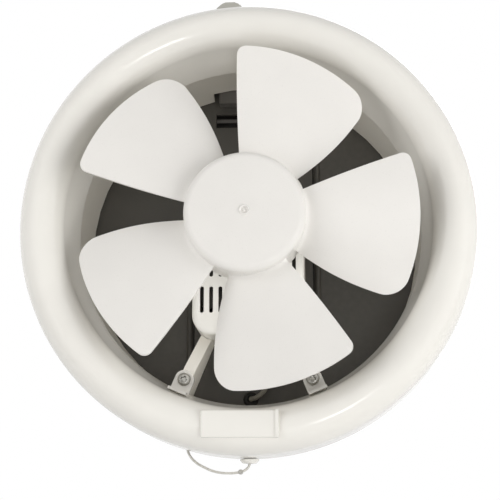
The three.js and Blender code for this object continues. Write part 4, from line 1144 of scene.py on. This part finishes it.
@dataclass
class Impeller(Assembly):
    """Five pitched blades and a domed hub in one moulding."""

    blades: int = 5
    first: float = 68.8
    tip: float = 101.4
    hub: float = 35.6
    hub_rear: float = -43.0
    hub_front: float = -76.0
    crown: float = 1.2
    edge: float = 4.5
    wall: float = 2.2
    crown_steps: int = 10
    button: float = 3.1
    button_gap: float = 0.9
    button_root: tuple[float, float] = (0.2, -0.15)
    button_steps: tuple[tuple[float, float], ...] = (
        (-0.3, -0.9), (-0.7, -0.85), (-1.3, 0.35), (-2.0, 0.35), (-2.4, -0.35), (-3.1, -0.45),
    )
    collar: float = 7.0
    collar_rear: float = -40.0
    shaft_hole: float = 3.3
    shaft_front: float = -67.3
    thickness: float = 2.0
    lead_angle: float = 23.7
    trail_angle: float = 25.0
    root_lead_angle: float = 26.7
    root_trail_angle: float = 30.4
    middle: float = -60.5
    root_depth: float = 9.4
    tip_depth: float = 22.2
    camber: float = 3.4
    bow: float = 2.1
    lead_corner: float = 5.0
    trail_corner: float = 12.0
    fillet: float = 2.6
    fillet_rise: float = 0.7
    crowding: float = 1.4
    blade_edge: float = 0.75
    blade_sharp: float = 55.0
    hub_edge: float = 0.3
    hub_steps: int = 128
    arc_steps: int = 16
    columns: int = 44
    rows: int = 30

    def place(self, span: float, across: float) -> Vector:
        """A point of one blade's middle surface, in millimetres.

        Args:
            span: The share of the way from the hub to the tip.
            across: The share of half the width, from trailing to leading edge.

        Returns:
            The point, with its middle line on +X.
        """
        leading = across > 0
        corner = self.lead_corner if leading else self.trail_corner
        tip_angle = math.radians(self.lead_angle if leading else self.trail_angle)
        start = 1 - corner / (self.tip * tip_angle)
        over = max(0.0, (abs(across) - start) / (1 - start))
        drop = corner * (1 - math.sqrt(max(0.0, 1 - over * over)))
        root = self.hub - self.wall / 2
        radius = root + span * (self.tip - drop - root)
        here = (radius - root) / (self.tip - root)
        root_angle = math.radians(self.root_lead_angle if leading else self.root_trail_angle)
        half_angle = root_angle * (1 - here) + tip_angle * here
        bow = 0.0 if leading else self.bow * math.sin(math.pi * here) * across
        angle = across * half_angle + bow / radius
        depth = self.root_depth * (1 - here) + self.tip_depth * here
        y = self.middle - across * depth / 2 - self.camber * (1 - across**2) + self.camber / 2
        return Vector((radius * math.cos(angle), y, radius * math.sin(angle)))

    def blade(self) -> Object:
        """One blade: a grid laid on its middle surface, thickened, flared at the root and rounded."""
        clear_selection()
        bpy.ops.mesh.primitive_grid_add(x_subdivisions=self.columns, y_subdivisions=self.rows, size=2)
        piece = bpy.context.object
        for vertex in piece.data.vertices:
            across = math.sin(vertex.co.x * math.pi / 2)
            span = ((vertex.co.y + 1) / 2) ** self.crowding
            vertex.co = self.place(span, across) * MM
        solidify = piece.modifiers.new("sheet", "SOLIDIFY")
        solidify.thickness = self.thickness * MM
        solidify.offset = 0
        bpy.ops.object.modifier_apply(modifier=solidify.name)
        half = len(piece.data.vertices) // 2
        front = piece.data.vertices[0].co.y < piece.data.vertices[half].co.y
        for index, vertex in enumerate(piece.data.vertices):
            away = (math.hypot(vertex.co.x, vertex.co.z) / MM - self.hub) / self.fillet
            near = min(1.0, max(0.0, 1 - away))
            swell = self.fillet * self.fillet_rise * (1 - math.sqrt(1 - near**2))
            vertex.co.y += swell * MM * (-1 if (index < half) == front else 1)
        edit(piece)
        close_edit()
        return finish_edges(piece, self.blade_edge, 3, self.blade_sharp)

    def hub_outline(self) -> Outline:
        """The hub's closed outline of radius and Y, with its hollow rear."""
        flat = self.hub - self.edge
        edge_y = self.hub_front + self.crown

        def dome(radius: float, lift: float) -> tuple[float, float]:
            """A point of the crown, lifted inwards by a wall."""
            return (radius, self.hub_front + lift + self.crown * (radius / flat) ** 2)

        steps, inner = self.crown_steps, self.edge - self.wall
        root_across, root_along = self.button_root
        return [
            (self.hub - self.wall, self.hub_rear),
            (self.hub, self.hub_rear),
            *arc(flat, edge_y + self.edge, self.edge, self.edge, 0, -0.25, self.arc_steps),
            *[dome(flat * step / steps, 0) for step in range(steps - 1, 1, -1)],
            dome(self.button + self.button_gap, 0),
            (self.button + root_across, dome(self.button, 0)[1] + root_along),
            *[(self.button + across, self.hub_front + along) for across, along in self.button_steps],
            (0, self.shaft_front),
            (self.shaft_hole, self.shaft_front),
            (self.shaft_hole, self.collar_rear),
            (self.collar, self.collar_rear),
            dome(self.collar, self.wall),
            *[dome(flat * step / steps, self.wall) for step in range(3, steps)],
            *arc(flat, edge_y + self.edge, inner, inner, -0.25, 0, self.arc_steps),
        ]

    def build(self, shop: Workshop) -> None:
        """Builds the hub and the blades as one piece."""
        shell = spun("impeller_shell", self.hub_outline(), self.hub_steps)
        hub = finish_edges(shell, self.hub_edge, 2, SHARP)
        one = self.blade()
        for number in range(self.blades):
            angle = -math.radians(self.first + number * 360 / self.blades)
            hub = join("impeller_shell", hub, again(one, Matrix.Rotation(angle, 4, "Y")))
        bpy.data.objects.remove(one)
        shop.set_in(hub, Body.ROTOR, Slot.IMPELLER_IVORY, "impeller")


@dataclass
class Motor(Assembly):
    """The slotted motor cover, the moulding behind it (cup, arms, duct tube and flange), and the shaft."""

    case: RoundedCase = field(default_factory=RoundedCase)
    cover_front: float = -34.0
    cover_rear: float = -8.0
    cover_wall: float = 2.0
    cover_rim: float = 3.5
    cover_open: float = 5.0
    edge: float = 0.3
    frame_edge: float = 0.5
    nose: float = 9.0
    nose_steps: int = 64
    cut_depth: float = 4.0
    slot_steps: int = 20
    slot_width: float = 2.4
    slot_length: float = 16.0
    slot_pitch: float = 5.5
    slot_rows: tuple[float, float] = (-44.7, -22.9)
    slot_columns: int = 11
    shaft_chamfer: float = 0.4

    def slots(self) -> Object:
        """The cutter for all of the cover's slots."""
        first = self.bore("slot", self.slot_width / 2, self.slot_steps)
        edit(first)
        pick_vertices(first, lambda place: place.z > -WELD)
        bpy.ops.transform.translate(value=(0, 0, (self.slot_length - self.slot_width) * MM))
        close_edit()
        cutters = []
        for row in self.slot_rows:
            for column in range(self.slot_columns):
                x = (column - (self.slot_columns - 1) / 2) * self.slot_pitch
                low = row - (self.slot_length - self.slot_width) / 2
                cutters.append(again(first, Matrix.Translation(Vector((x, 0, low)) * MM)))
        bpy.data.objects.remove(first)
        return join("slots", *cutters)

    def bore(self, name: str, radius: float, steps: int) -> Object:
        """A round cutter through the cover's front, on the axis."""
        return rod(name, radius, self.cover_front - OVERCUT, self.cover_front + self.cut_depth, 0, 0, steps)

    def cover(self) -> Object:
        """The cover: a rounded case with a wall, two rows of slots and a nose hole."""
        front, rear, wall = self.cover_front, self.cover_rear, self.cover_wall
        piece = self.case.block("motor_cover_shell", front, rear, 0, self.cover_rim)
        inner_rim = self.cover_rim - wall / 2
        carve(piece, self.case.block("hollow", front + wall, rear + self.cover_open, wall, inner_rim))
        carve(piece, self.slots())
        carve(piece, self.bore("nose", self.nose, self.nose_steps))
        return finish_edges(piece, self.edge, 2, SHARP)

    def build(self, shop: Workshop) -> None:
        """Builds the cover, the frame and the shaft."""
        shop.set_in(self.cover(), Body.ROOT, Slot.WHITE_PLASTIC, "motor_cover")
        frame = finish_edges(shop.copy_of("motor_frame", "motor_frame_shell"), self.frame_edge, 2)
        shop.set_in(frame, Body.ROOT, Slot.SATIN_IVORY, "motor_frame")
        shop.set_in(self.shaft(), Body.ROTOR, Slot.PLATED_STEEL, "motor_shaft")

    def shaft(self) -> Object:
        """The round shaft with chamfered ends, as long and thick as its node."""
        low, high = node_box("motor_shaft")
        radius, cut = (high.x - low.x) / 2, self.shaft_chamfer
        outline = [
            (0, low.y), (radius - cut, low.y), (radius, low.y + cut), (radius, high.y - cut),
            (radius - cut, high.y), (0, high.y),
        ]
        return finish_edges(spun("motor_shaft_turned", outline, SMALL_STEPS), 0, 1, 30.0, 30.0)


@dataclass
class ShutterShadePieces(Assembly):
    """Dark stand-ins for shade in the shutter: black strips behind its seams, a cover behind its window and a
    plug in the grommet's bore, which keep light out where only shade shows.
    """

    panel_rear: float = 44.0
    strip_inner: float = 37.2
    strip_outer: float = 40.9
    strip_front: float = 45.7
    strip_rear: float = 46.5
    strip_top: float = 101.0
    horn_low: float = 84.5
    horn_high: float = 92.2
    cover_half: float = 27.0
    cover_bottom: float = 81.5
    cover_top: float = 97.0
    cover_inner: float = 50.0
    cover_wall: float = 1.2
    shade_plug_radius: float = 2.05
    shade_plug_front: float = 2.2
    shade_plug_rear: float = 0.4
    edge: float = 0.2
    cover_edge: float = 0.3

    def strip(self, name: str, side: int, low: float, high: float) -> Object:
        """One black strip behind a seam, standing in for the shade in its gap.

        Args:
            name: The piece's name.
            side: -1 for the left seam and 1 for the right one.
            low: Its lower end on Z.
            high: Its upper end on Z.

        Returns:
            The strip.
        """
        left, right = sorted((side * self.strip_inner, side * self.strip_outer))
        piece = slab(name, (left, self.strip_front, low), (right, self.strip_rear, high))
        return finish_edges(piece, self.edge)

    def cover(self) -> Object:
        """The cover: a back, a top and a bottom, open at both ends for the sliding bar, a dark stand-in for
        the shade behind the shutter's window.
        """
        half, wall = self.cover_half, self.cover_wall
        front, rear = self.panel_rear, self.cover_inner + wall
        piece = slab("window_shade_cover", (-half, front, self.cover_bottom), (half, rear, self.cover_top))
        low = (-half - OVERCUT, front - OVERCUT, self.cover_bottom + wall)
        high = (half + OVERCUT, self.cover_inner, self.cover_top - wall)
        return finish_edges(carve(piece, slab("hollow", low, high)), self.cover_edge)

    def shade_plug(self) -> Object:
        """The plug that closes the grommet's bore behind the lead's end, a dark stand-in for the shade in the
        bore.
        """
        low, high = node_box("lead_grommet")
        x, z = (low.x + high.x) / 2, (low.z + high.z) / 2
        front, rear = high.y - self.shade_plug_front, high.y - self.shade_plug_rear
        return finish_edges(rod("grommet_shade_plug", self.shade_plug_radius, front, rear, x, z), self.edge)

    def build(self, shop: Workshop) -> None:
        """Builds the strips, the cover and the plug, all black stand-ins for shade."""
        strips = (
            ("seam_shade_strip_right", 1, -self.strip_top, self.strip_top),
            ("seam_shade_strip_left", -1, -self.strip_top, self.horn_low),
            ("seam_shade_strip_left_high", -1, self.horn_high, self.strip_top),
        )
        for piece in [*(self.strip(*strip) for strip in strips), self.cover(), self.shade_plug()]:
            # Black rubber on each: painted shade where the seams, the window and the bore show only shadow.
            shop.set_in(piece, Body.ROOT, Slot.BLACK_RUBBER)


@dataclass
class PullCord(Assembly):
    """The pull cord from its slider, out of the boss, round the skirt's rear edge and into a coil."""

    diameter: float = 1.5
    pull_y: float = PULL_Y
    pace: float = 0.45
    sides: int = 12
    skirt_inner: float = 135.1
    layer_turns: float = 3.5
    pitch: float = 2.05
    mean_radius: float = 8.25
    seat: float = 22.0
    coil_y: float = -21.0
    tail: float = 8.0
    climb_start: float = 0.25
    turn_steps: int = 24
    seat_gaps: float = 0.6
    tie_thickness: float = 0.7
    tie_edge: float = 0.2
    loop_knot_at: tuple[float, float] = (-5.4, -145.3)
    loop_knot_radius: float = 1.55
    end_knot_radius: float = 1.7
    knot_sides: tuple[int, int] = (32, 20)
    knot_tilt: tuple[float, float, float] = (0.4, 1.2, 0.2)
    knot_press: float = 0.07
    knot_lobes: int = 3
    knot_twist: float = 4.0

    @property
    def coil_outer(self) -> float:
        """The radius of the coil's outermost turn."""
        return self.mean_radius + self.layer_turns * self.pitch / 2

    @property
    def low_layer(self) -> float:
        """The radius from the fan's axis of the coil's layer on the skirt."""
        wall = math.sqrt(self.skirt_inner**2 - (self.coil_outer + self.diameter / 2) ** 2)
        return wall - self.seat_gaps - self.tie_thickness - self.diameter / 2

    def coil_point(self, share: float) -> Vector:
        """A point of the coil at a share of its way, in millimetres."""
        turns = 2 * self.layer_turns
        wind = TURN * self.mean_radius * turns
        total = wind + self.tail
        turn = min(share * total / wind, 1.0) * turns
        tail = max(0.0, share * total - wind)
        radius = self.coil_outer - self.pitch * min(turn, turns - turn)
        climb = min(1.0, max(0.0, (turn - self.layer_turns + self.climb_start) * 2))
        height = self.pitch * climb * climb * (3 - 2 * climb)
        along = radius * math.cos(TURN * turn)
        y = self.coil_y - radius * math.sin(TURN * turn) - tail
        seat = math.radians(self.seat)
        out = self.low_layer - height
        centre = Vector((-out * math.sin(seat), y, -out * math.cos(seat)))
        return centre + Vector((along * math.cos(seat), 0, -along * math.sin(seat)))

    def route(self) -> list[Vector]:
        """The whole centre line in millimetres, from the slider to the knot."""
        y = self.pull_y
        entry = self.coil_point(0)
        marks = [
            (0, y, -133.3), (0, y, -137), (0, y, -139.6), (-0.5, y, -141.9), (-2.4, y, -144),
            (-5.4, y, -145.3), (-9.3, y, -145.9), (-13, -12.9, -146), (-18, -12.2, -145.6),
            (-23, -11, -144.3), (-27.5, -9.2, -142.3), (-31.3, -6.8, -140.2), (-34.4, -4.6, -137.8),
            (-36.8, -3.6, -134.8), (-38.2, -3.5, -131.3), (-38.6, -5.3, -128.5),
            (entry.x, entry.y + 8, entry.z), (entry.x, entry.y + 4, entry.z),
        ]
        points = [Vector(mark) for mark in marks]
        count = int(2 * self.layer_turns * self.turn_steps)
        points += [self.coil_point(i / count) for i in range(count + 1)]
        return self.resampled(smoothed(points))

    def resampled(self, points: list[Vector]) -> list[Vector]:
        """The same line with points an even pace apart.

        Args:
            points: A closely drawn line.

        Returns:
            Points of the line, both ends with them.
        """
        lengths = [0.0]
        for before, after in zip(points, points[1:]):
            lengths.append(lengths[-1] + (after - before).length)
        count = round(lengths[-1] / self.pace)
        even, index = [], 0
        for step in range(count + 1):
            wanted = lengths[-1] * step / count
            while index < len(points) - 2 and lengths[index + 1] < wanted:
                index += 1
            share = (wanted - lengths[index]) / max(lengths[index + 1] - lengths[index], WELD)
            even.append(points[index].lerp(points[index + 1], min(share, 1.0)))
        return even

    def tube(self, name: str, line: list[Vector]) -> Object:
        """A round tube along the line, closed at both ends, with a map of round and along.

        Args:
            name: The piece's name.
            line: The centre line in millimetres.

        Returns:
            The tube.
        """
        mesh = bmesh.new()
        uv = mesh.loops.layers.uv.new("cord_map")
        radius = self.diameter / 2
        tangents = [(b - a).normalized() for a, b in zip(line[:1] + line[:-1], line[1:] + line[-1:])]
        side = tangents[0].orthogonal().normalized()
        rings = []
        for point, tangent in zip(line, tangents):
            side = (side - tangent * side.dot(tangent)).normalized()
            other = tangent.cross(side)
            angles = [TURN * i / self.sides for i in range(self.sides)]
            spokes = [side * math.cos(a) + other * math.sin(a) for a in angles]
            rings.append([mesh.verts.new((point + spoke * radius) * MM) for spoke in spokes])
        for row, (low, high) in enumerate(zip(rings, rings[1:])):
            for i in range(self.sides):
                j = (i + 1) % self.sides
                face = mesh.faces.new((low[i], low[j], high[j], high[i]))
                face.smooth = True
                rounds = (i, i + 1, i + 1, i)
                rows = (row, row, row + 1, row + 1)
                for loop, turn, step in zip(face.loops, rounds, rows):
                    loop[uv].uv = (turn / self.sides, step * self.pace * MM)
        mesh.faces.new(list(reversed(rings[0])))
        mesh.faces.new(rings[-1])
        mesh.normal_update()
        data = bpy.data.meshes.new(name)
        mesh.to_mesh(data)
        mesh.free()
        return new_piece(name, data)

    def build(self, shop: Workshop) -> None:
        """Builds the cord, its two knots and its tie."""
        line = self.route()
        cord = self.tube("pull_cord_strand", line)
        shop.dress(cord, Slot.PULL_CORD)
        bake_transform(cord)
        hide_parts("pull_cord_drop", "pull_cord_lead", "pull_cord_coil")
        loop_x, loop_z = self.loop_knot_at
        loop_middle = Vector((loop_x, self.pull_y, loop_z))
        loop_knot = self.knot("cord_loop_knot", loop_middle, self.loop_knot_radius)
        shop.set_in(loop_knot, Body.PULL, Slot.PULL_CORD)
        end_middle = sum(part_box("cord_knot"), Vector()) / 2 / MM
        end_knot = self.knot("cord_end_knot", end_middle, self.end_knot_radius)
        shop.set_in(end_knot, Body.ROOT, Slot.PULL_CORD, "cord_knot")
        tie = finish_edges(shop.copy_of("cord_tie", "cord_tie_band"), self.tie_edge, 2)
        shop.set_in(tie, Body.ROOT, Slot.CLEAR_PLASTIC, "cord_tie")

    def knot(self, name: str, centre: Vector, radius: float) -> Object:
        """A small overhand knot: a rounded lump with its turns pressed in.

        Args:
            name: The piece's name.
            centre: Its middle in millimetres.
            radius: Its radius in millimetres.

        Returns:
            The knot.
        """
        clear_selection()
        segments, rings = self.knot_sides
        bpy.ops.mesh.primitive_uv_sphere_add(segments=segments, ring_count=rings, radius=radius * MM)
        piece = bpy.context.object
        for vertex in piece.data.vertices:
            place = vertex.co.normalized()
            turn = self.knot_lobes * math.atan2(place.y, place.x) + self.knot_twist * place.z
            vertex.co *= 1 - self.knot_press + self.knot_press * abs(math.sin(turn))
        piece.location = centre * MM
        piece.rotation_euler = self.knot_tilt
        return finish_edges(settle(piece, name), 0, 1, 30.0, 60.0)


def smoothed(points: list[Vector], steps: int = 8) -> list[Vector]:
    """Draws a smooth line through points.

    Args:
        points: The points in order.
        steps: The steps between two of them.

    Returns:
        The closely drawn line.
    """
    line = []
    ends = [points[0] * 2 - points[1], *points, points[-1] * 2 - points[-2]]
    for p0, p1, p2, p3 in zip(ends, ends[1:], ends[2:], ends[3:]):
        knots = [0.0]
        for before, after in ((p0, p1), (p1, p2), (p2, p3)):
            knots.append(knots[-1] + math.sqrt(max((after - before).length, WELD)))
        t0, t1, t2, t3 = knots
        for step in range(steps):
            t = t1 + (t2 - t1) * step / steps
            a1 = p0.lerp(p1, (t - t0) / (t1 - t0))
            a2 = p1.lerp(p2, (t - t1) / (t2 - t1))
            a3 = p2.lerp(p3, (t - t2) / (t3 - t2))
            b1 = a1.lerp(a2, (t - t0) / (t2 - t0))
            b2 = a2.lerp(a3, (t - t1) / (t3 - t1))
            line.append(b1.lerp(b2, (t - t1) / (t2 - t1)))
    return [*line, points[-1]]


@dataclass
class TerminalBox(Assembly):
    """The grey box at the top inside, a little shorter than its nodes, with its lid."""

    raised: float = 4.2
    wall: float = 1.8
    corner: float = 1.3
    screw_hole: float = 1.2

    def build(self, shop: Workshop) -> None:
        """Builds the hollow box and the lid with its screw hole."""
        screw_low, screw_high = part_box("lid_screw")
        middle = (screw_low + screw_high) / 2 / MM
        for node in ("terminal_box", "terminal_lid"):
            low, high = node_box(node)
            low.z += self.raised
            piece = slab(f"{node}_shell", low, high)
            if node == "terminal_box":
                inset, deep = Vector((self.wall, 0, self.wall)), Vector((0, self.wall, 0))
                tool = slab("hollow", low + inset - deep, high - inset - deep)
            else:
                front, rear = low.y - OVERCUT, high.y + OVERCUT
                tool = rod("hole", self.screw_hole, front, rear, middle.x, middle.z)
            carve(piece, tool)
            finish_edges(piece, self.corner, 4)
            shop.set_in(piece, Body.ROOT, Slot.BOX_GREY, node)


@dataclass
class LeadOutlet(Assembly):
    """The outlet for the mains lead, whose rounded top stands above the ring."""

    middle: float = -13.0
    rise: float = 1.2
    edge: float = 0.6
    halves: tuple[tuple[float, float], ...] = (
        (0.0, 2.8), (0.5, 4.2), (1.0, 5.2), (2.0, 6.8), (3.0, 8.0), (4.0, 8.7), (5.0, 9.1),
    )

    def half_at(self, depth: float) -> float:
        """Half the outlet's width at a depth below its top, in millimetres."""
        for (upper, wide), (lower, wider) in zip(self.halves, self.halves[1:]):
            if depth <= lower:
                return wide + (wider - wide) * max(0.0, depth - upper) / (lower - upper)
        return self.halves[-1][1]

    def build(self, shop: Workshop) -> None:
        """Builds the outlet from its node, with a broader and rounder top."""
        piece = shop.copy_of("lead_outlet", "lead_outlet_shell")
        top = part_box("lead_outlet")[1].z / MM
        reach = self.halves[-1][0]
        levels: dict[float, float] = {}
        places = [(vertex.co.x / MM - self.middle, top - vertex.co.z / MM) for vertex in piece.data.vertices]
        for across, depth in places:
            level = round(depth, 3)
            levels[level] = max(levels.get(level, 0.0), abs(across))
        for vertex, (across, depth) in zip(piece.data.vertices, places):
            if depth <= reach:
                wider = self.half_at(depth) / levels[round(depth, 3)]
                vertex.co.x = (self.middle + across * wider) * MM
                vertex.co.z += self.rise * MM
        shop.set_in(finish_edges(piece, self.edge, 3), Body.ROOT, Slot.OUTLET_GREY, "lead_outlet")


@dataclass(frozen=True)
class SoftenedNode:
    """A node whose copy gets rounded edges of a width in millimetres."""

    node: str
    body: Body
    slot: Slot
    width: float


SOFTENED = (
    SoftenedNode("rear_casing", Body.ROOT, Slot.OUTLET_GREY, 0.5),
    SoftenedNode("wall_gasket", Body.ROOT, Slot.GASKET_RUBBER, 0.5),
    SoftenedNode("shutter_panel", Body.ROOT, Slot.SHUTTER_GREY, 0.35),
    SoftenedNode("shutter_leaf_right", Body.RIGHT_LEAF, Slot.SHUTTER_GREY, 0.3),
    SoftenedNode("shutter_leaf_left", Body.LEFT_LEAF, Slot.SHUTTER_GREY, 0.3),
    SoftenedNode("shutter_bar", Body.LINK_BAR, Slot.BOX_GREY, 0.25),
    SoftenedNode("lead_grommet", Body.ROOT, Slot.BLACK_RUBBER, 0.3),
    SoftenedNode("pull_switch", Body.ROOT, Slot.BOX_GREY, 0.5),
    SoftenedNode("pull_slider", Body.PULL, Slot.WHITE_PLASTIC, 0.2),
    SoftenedNode("cord_boss", Body.ROOT, Slot.GLOSS_IVORY, 0.3),
    SoftenedNode("impeller_clamp", Body.ROTOR, Slot.PLATED_STEEL, 0.2),
)


def soften_nodes(shop: Workshop) -> None:
    """Replaces plain mouldings by copies with rounded edges.

    Args:
        shop: The workshop that dresses them.
    """
    for entry in SOFTENED:
        piece = finish_edges(shop.copy_of(entry.node, f"{entry.node}_shell"), entry.width, 2)
        shop.set_in(piece, entry.body, entry.slot, entry.node)


ASSEMBLIES: tuple[type[Assembly], ...] = (
    PullCord, FrontRing, RingClips, Impeller, Motor, ShutterShadePieces, PanScrews, TerminalBox, LeadOutlet,
)

KEPT = {
    Slot.CORE_IRON: ("stator_core", "rotor"),
    Slot.WINDING: ("stator_coil",),
    Slot.PLATED_STEEL: (
        "front_bridge", "rear_bridge", "motor_bolt_left", "motor_bolt_right", "leaf_pin_left",
        "leaf_pin_right",
    ),
    Slot.BUSH_BRONZE: ("front_bush", "rear_bush"),
    Slot.LEAD_WHITE: ("motor_lead",),
}


# The studio


@dataclass(frozen=True)
class Lamp:
    """A soft lamp, in metres and watts."""

    name: str
    place: tuple[float, float, float]
    width: float
    height: float
    watts: float
    aim: tuple[float, float, float] = (0.0, -0.03, 0.0)
    shape: str = "RECTANGLE"
    mirrored: bool = True

    def build(self) -> None:
        """Hangs the lamp and aims it. One that isn't mirrored leaves no highlight."""
        clear_selection()
        bpy.ops.object.light_add(type="AREA", location=self.place)
        lamp = bpy.context.object
        lamp.name = self.name
        lamp.data.shape = self.shape
        lamp.data.size = self.width
        lamp.data.size_y = self.height
        lamp.data.energy = self.watts
        lamp.visible_camera = False
        lamp.visible_glossy = self.mirrored
        towards = Vector(self.aim) - Vector(self.place)
        lamp.rotation_euler = towards.to_track_quat("-Z", "Y").to_euler()


@dataclass
class Studio:
    """The camera of the photograph, soft lamps, and a pale floor far below."""

    azimuth: float = 3.0
    elevation: float = -12.5
    distance: float = 0.865
    aim: tuple[float, float, float] = (0.0, -0.025, 0.0)
    focal_pixels: float = 1422.0
    middle: tuple[float, float] = (248.7, 229.0)
    image: float = 500.0
    sensor: float = 36.0
    near: float = 0.01
    far: float = 50.0
    floor_depth: float = -0.75
    floor_size: float = 60.0
    floor_colours: tuple[Colour, Colour] = ((238, 238, 237), (244, 244, 243))
    floor_patches: float = 6.0
    floor_glow: float = 0.8
    ambient: float = 0.3
    lamps: tuple[Lamp, ...] = (
        Lamp("left_wall", (-0.92, -0.8, 0.12), 0.8, 1.0, 6.6, mirrored=False),
        Lamp("right_wall", (1.38, -0.797, -0.139), 1.0, 1.2, 12.5, mirrored=False),
        Lamp("right_window", (0.956, -1.223, -0.387), 0.6, 0.6, 2.2, mirrored=False),
        Lamp("front_window", (0.257, -1.538, -0.36), 0.16, 0.28, 1.4),
        Lamp("crown", (0.1, -0.7, 1.5), 1.2, 1.0, 2.5, mirrored=False),
        Lamp("duct_light", (0.0, -0.046, 0.0), 0.2, 0.2, 0.04, (0.0, 0.1, 0.0), "DISK"),
        Lamp("rear_wall", (0.5, 1.7, 0.7), 1.2, 1.2, 12.0),
    )

    def camera(self) -> None:
        """Sets the camera where the photograph was taken from."""
        a, e = math.radians(self.azimuth), math.radians(self.elevation)
        back = Vector((math.sin(a) * math.cos(e), -math.cos(a) * math.cos(e), math.sin(e)))
        clear_selection()
        bpy.ops.object.camera_add(location=Vector(self.aim) + back * self.distance)
        camera = bpy.context.object
        camera.rotation_euler = (-back).to_track_quat("-Z", "Y").to_euler()
        camera.data.sensor_width = self.sensor
        camera.data.lens = self.focal_pixels / self.image * self.sensor
        camera.data.shift_x = (self.image / 2 - self.middle[0]) / self.image
        camera.data.shift_y = (self.middle[1] - self.image / 2) / self.image
        camera.data.clip_start = self.near
        camera.data.clip_end = self.far
        bpy.context.scene.camera = camera

    def seen(self, wiring: Wiring) -> Socket:
        """A mask for rays that show the background: camera, glossy and transmitted ones."""
        path = wiring.add("LightPath")
        first = wiring.maths("MAXIMUM", path.outputs["Is Camera Ray"], path.outputs["Is Glossy Ray"])
        return wiring.maths("MAXIMUM", first, path.outputs["Is Transmission Ray"])

    def surround(self) -> None:
        """Sets a white background and a soft even light from all sides."""
        world = bpy.data.worlds.new("surround")
        bpy.context.scene.world = world
        wiring = Wiring.fresh(world)
        strength = wiring.ramp(self.seen(wiring), 0.0, 1.0, self.ambient, 1.0)
        light = wiring.add("Background", Color=(1, 1, 1, 1), Strength=strength)
        wiring.add("OutputWorld", Surface=light.outputs["Background"])

    def floor(self) -> None:
        """Lays a pale floor with a faint unevenness."""
        clear_selection()
        bpy.ops.mesh.primitive_plane_add(size=self.floor_size, location=(0, 0, self.floor_depth))
        floor = settle(bpy.context.object, "floor")
        material = bpy.data.materials.new("pale_floor")
        wiring = Wiring.fresh(material)
        place = wiring.get("TexCoord", "Object")
        noise = wiring.get("TexNoise", "Fac", Vector=place, Scale=self.floor_patches)
        colour = wiring.blend(noise, *[opaque(pale) for pale in self.floor_colours])
        matt = wiring.get("BsdfPrincipled", "BSDF", Base_Color=colour, Roughness=0.9)
        glow = wiring.get("Emission", "Emission", Color=(1, 1, 1, 1), Strength=1.0)
        share = wiring.maths("MULTIPLY", self.seen(wiring), self.floor_glow)
        mixed = wiring.get("MixShader", "Shader", Fac=share, Shader=matt, Shader_001=glow)
        wiring.add("OutputMaterial", Surface=mixed)
        floor.data.materials.append(material)

    def build(self) -> None:
        """Sets up floor, surround and lamps."""
        self.floor()
        self.surround()
        for lamp in self.lamps:
            lamp.build()
        bpy.context.scene.view_settings.view_transform = "Standard"


def main() -> None:
    """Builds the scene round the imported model."""
    logging.basicConfig(level=logging.INFO, format="%(message)s")
    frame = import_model()
    clear_selection()
    studio = Studio()
    studio.camera()
    shop = Workshop(frame)
    for assembly in ASSEMBLIES:
        assembly().build(shop)
    soften_nodes(shop)
    for slot, nodes in KEPT.items():
        shop.keep(slot, *nodes)
    studio.build()


if __name__ == "__main__":
    main()
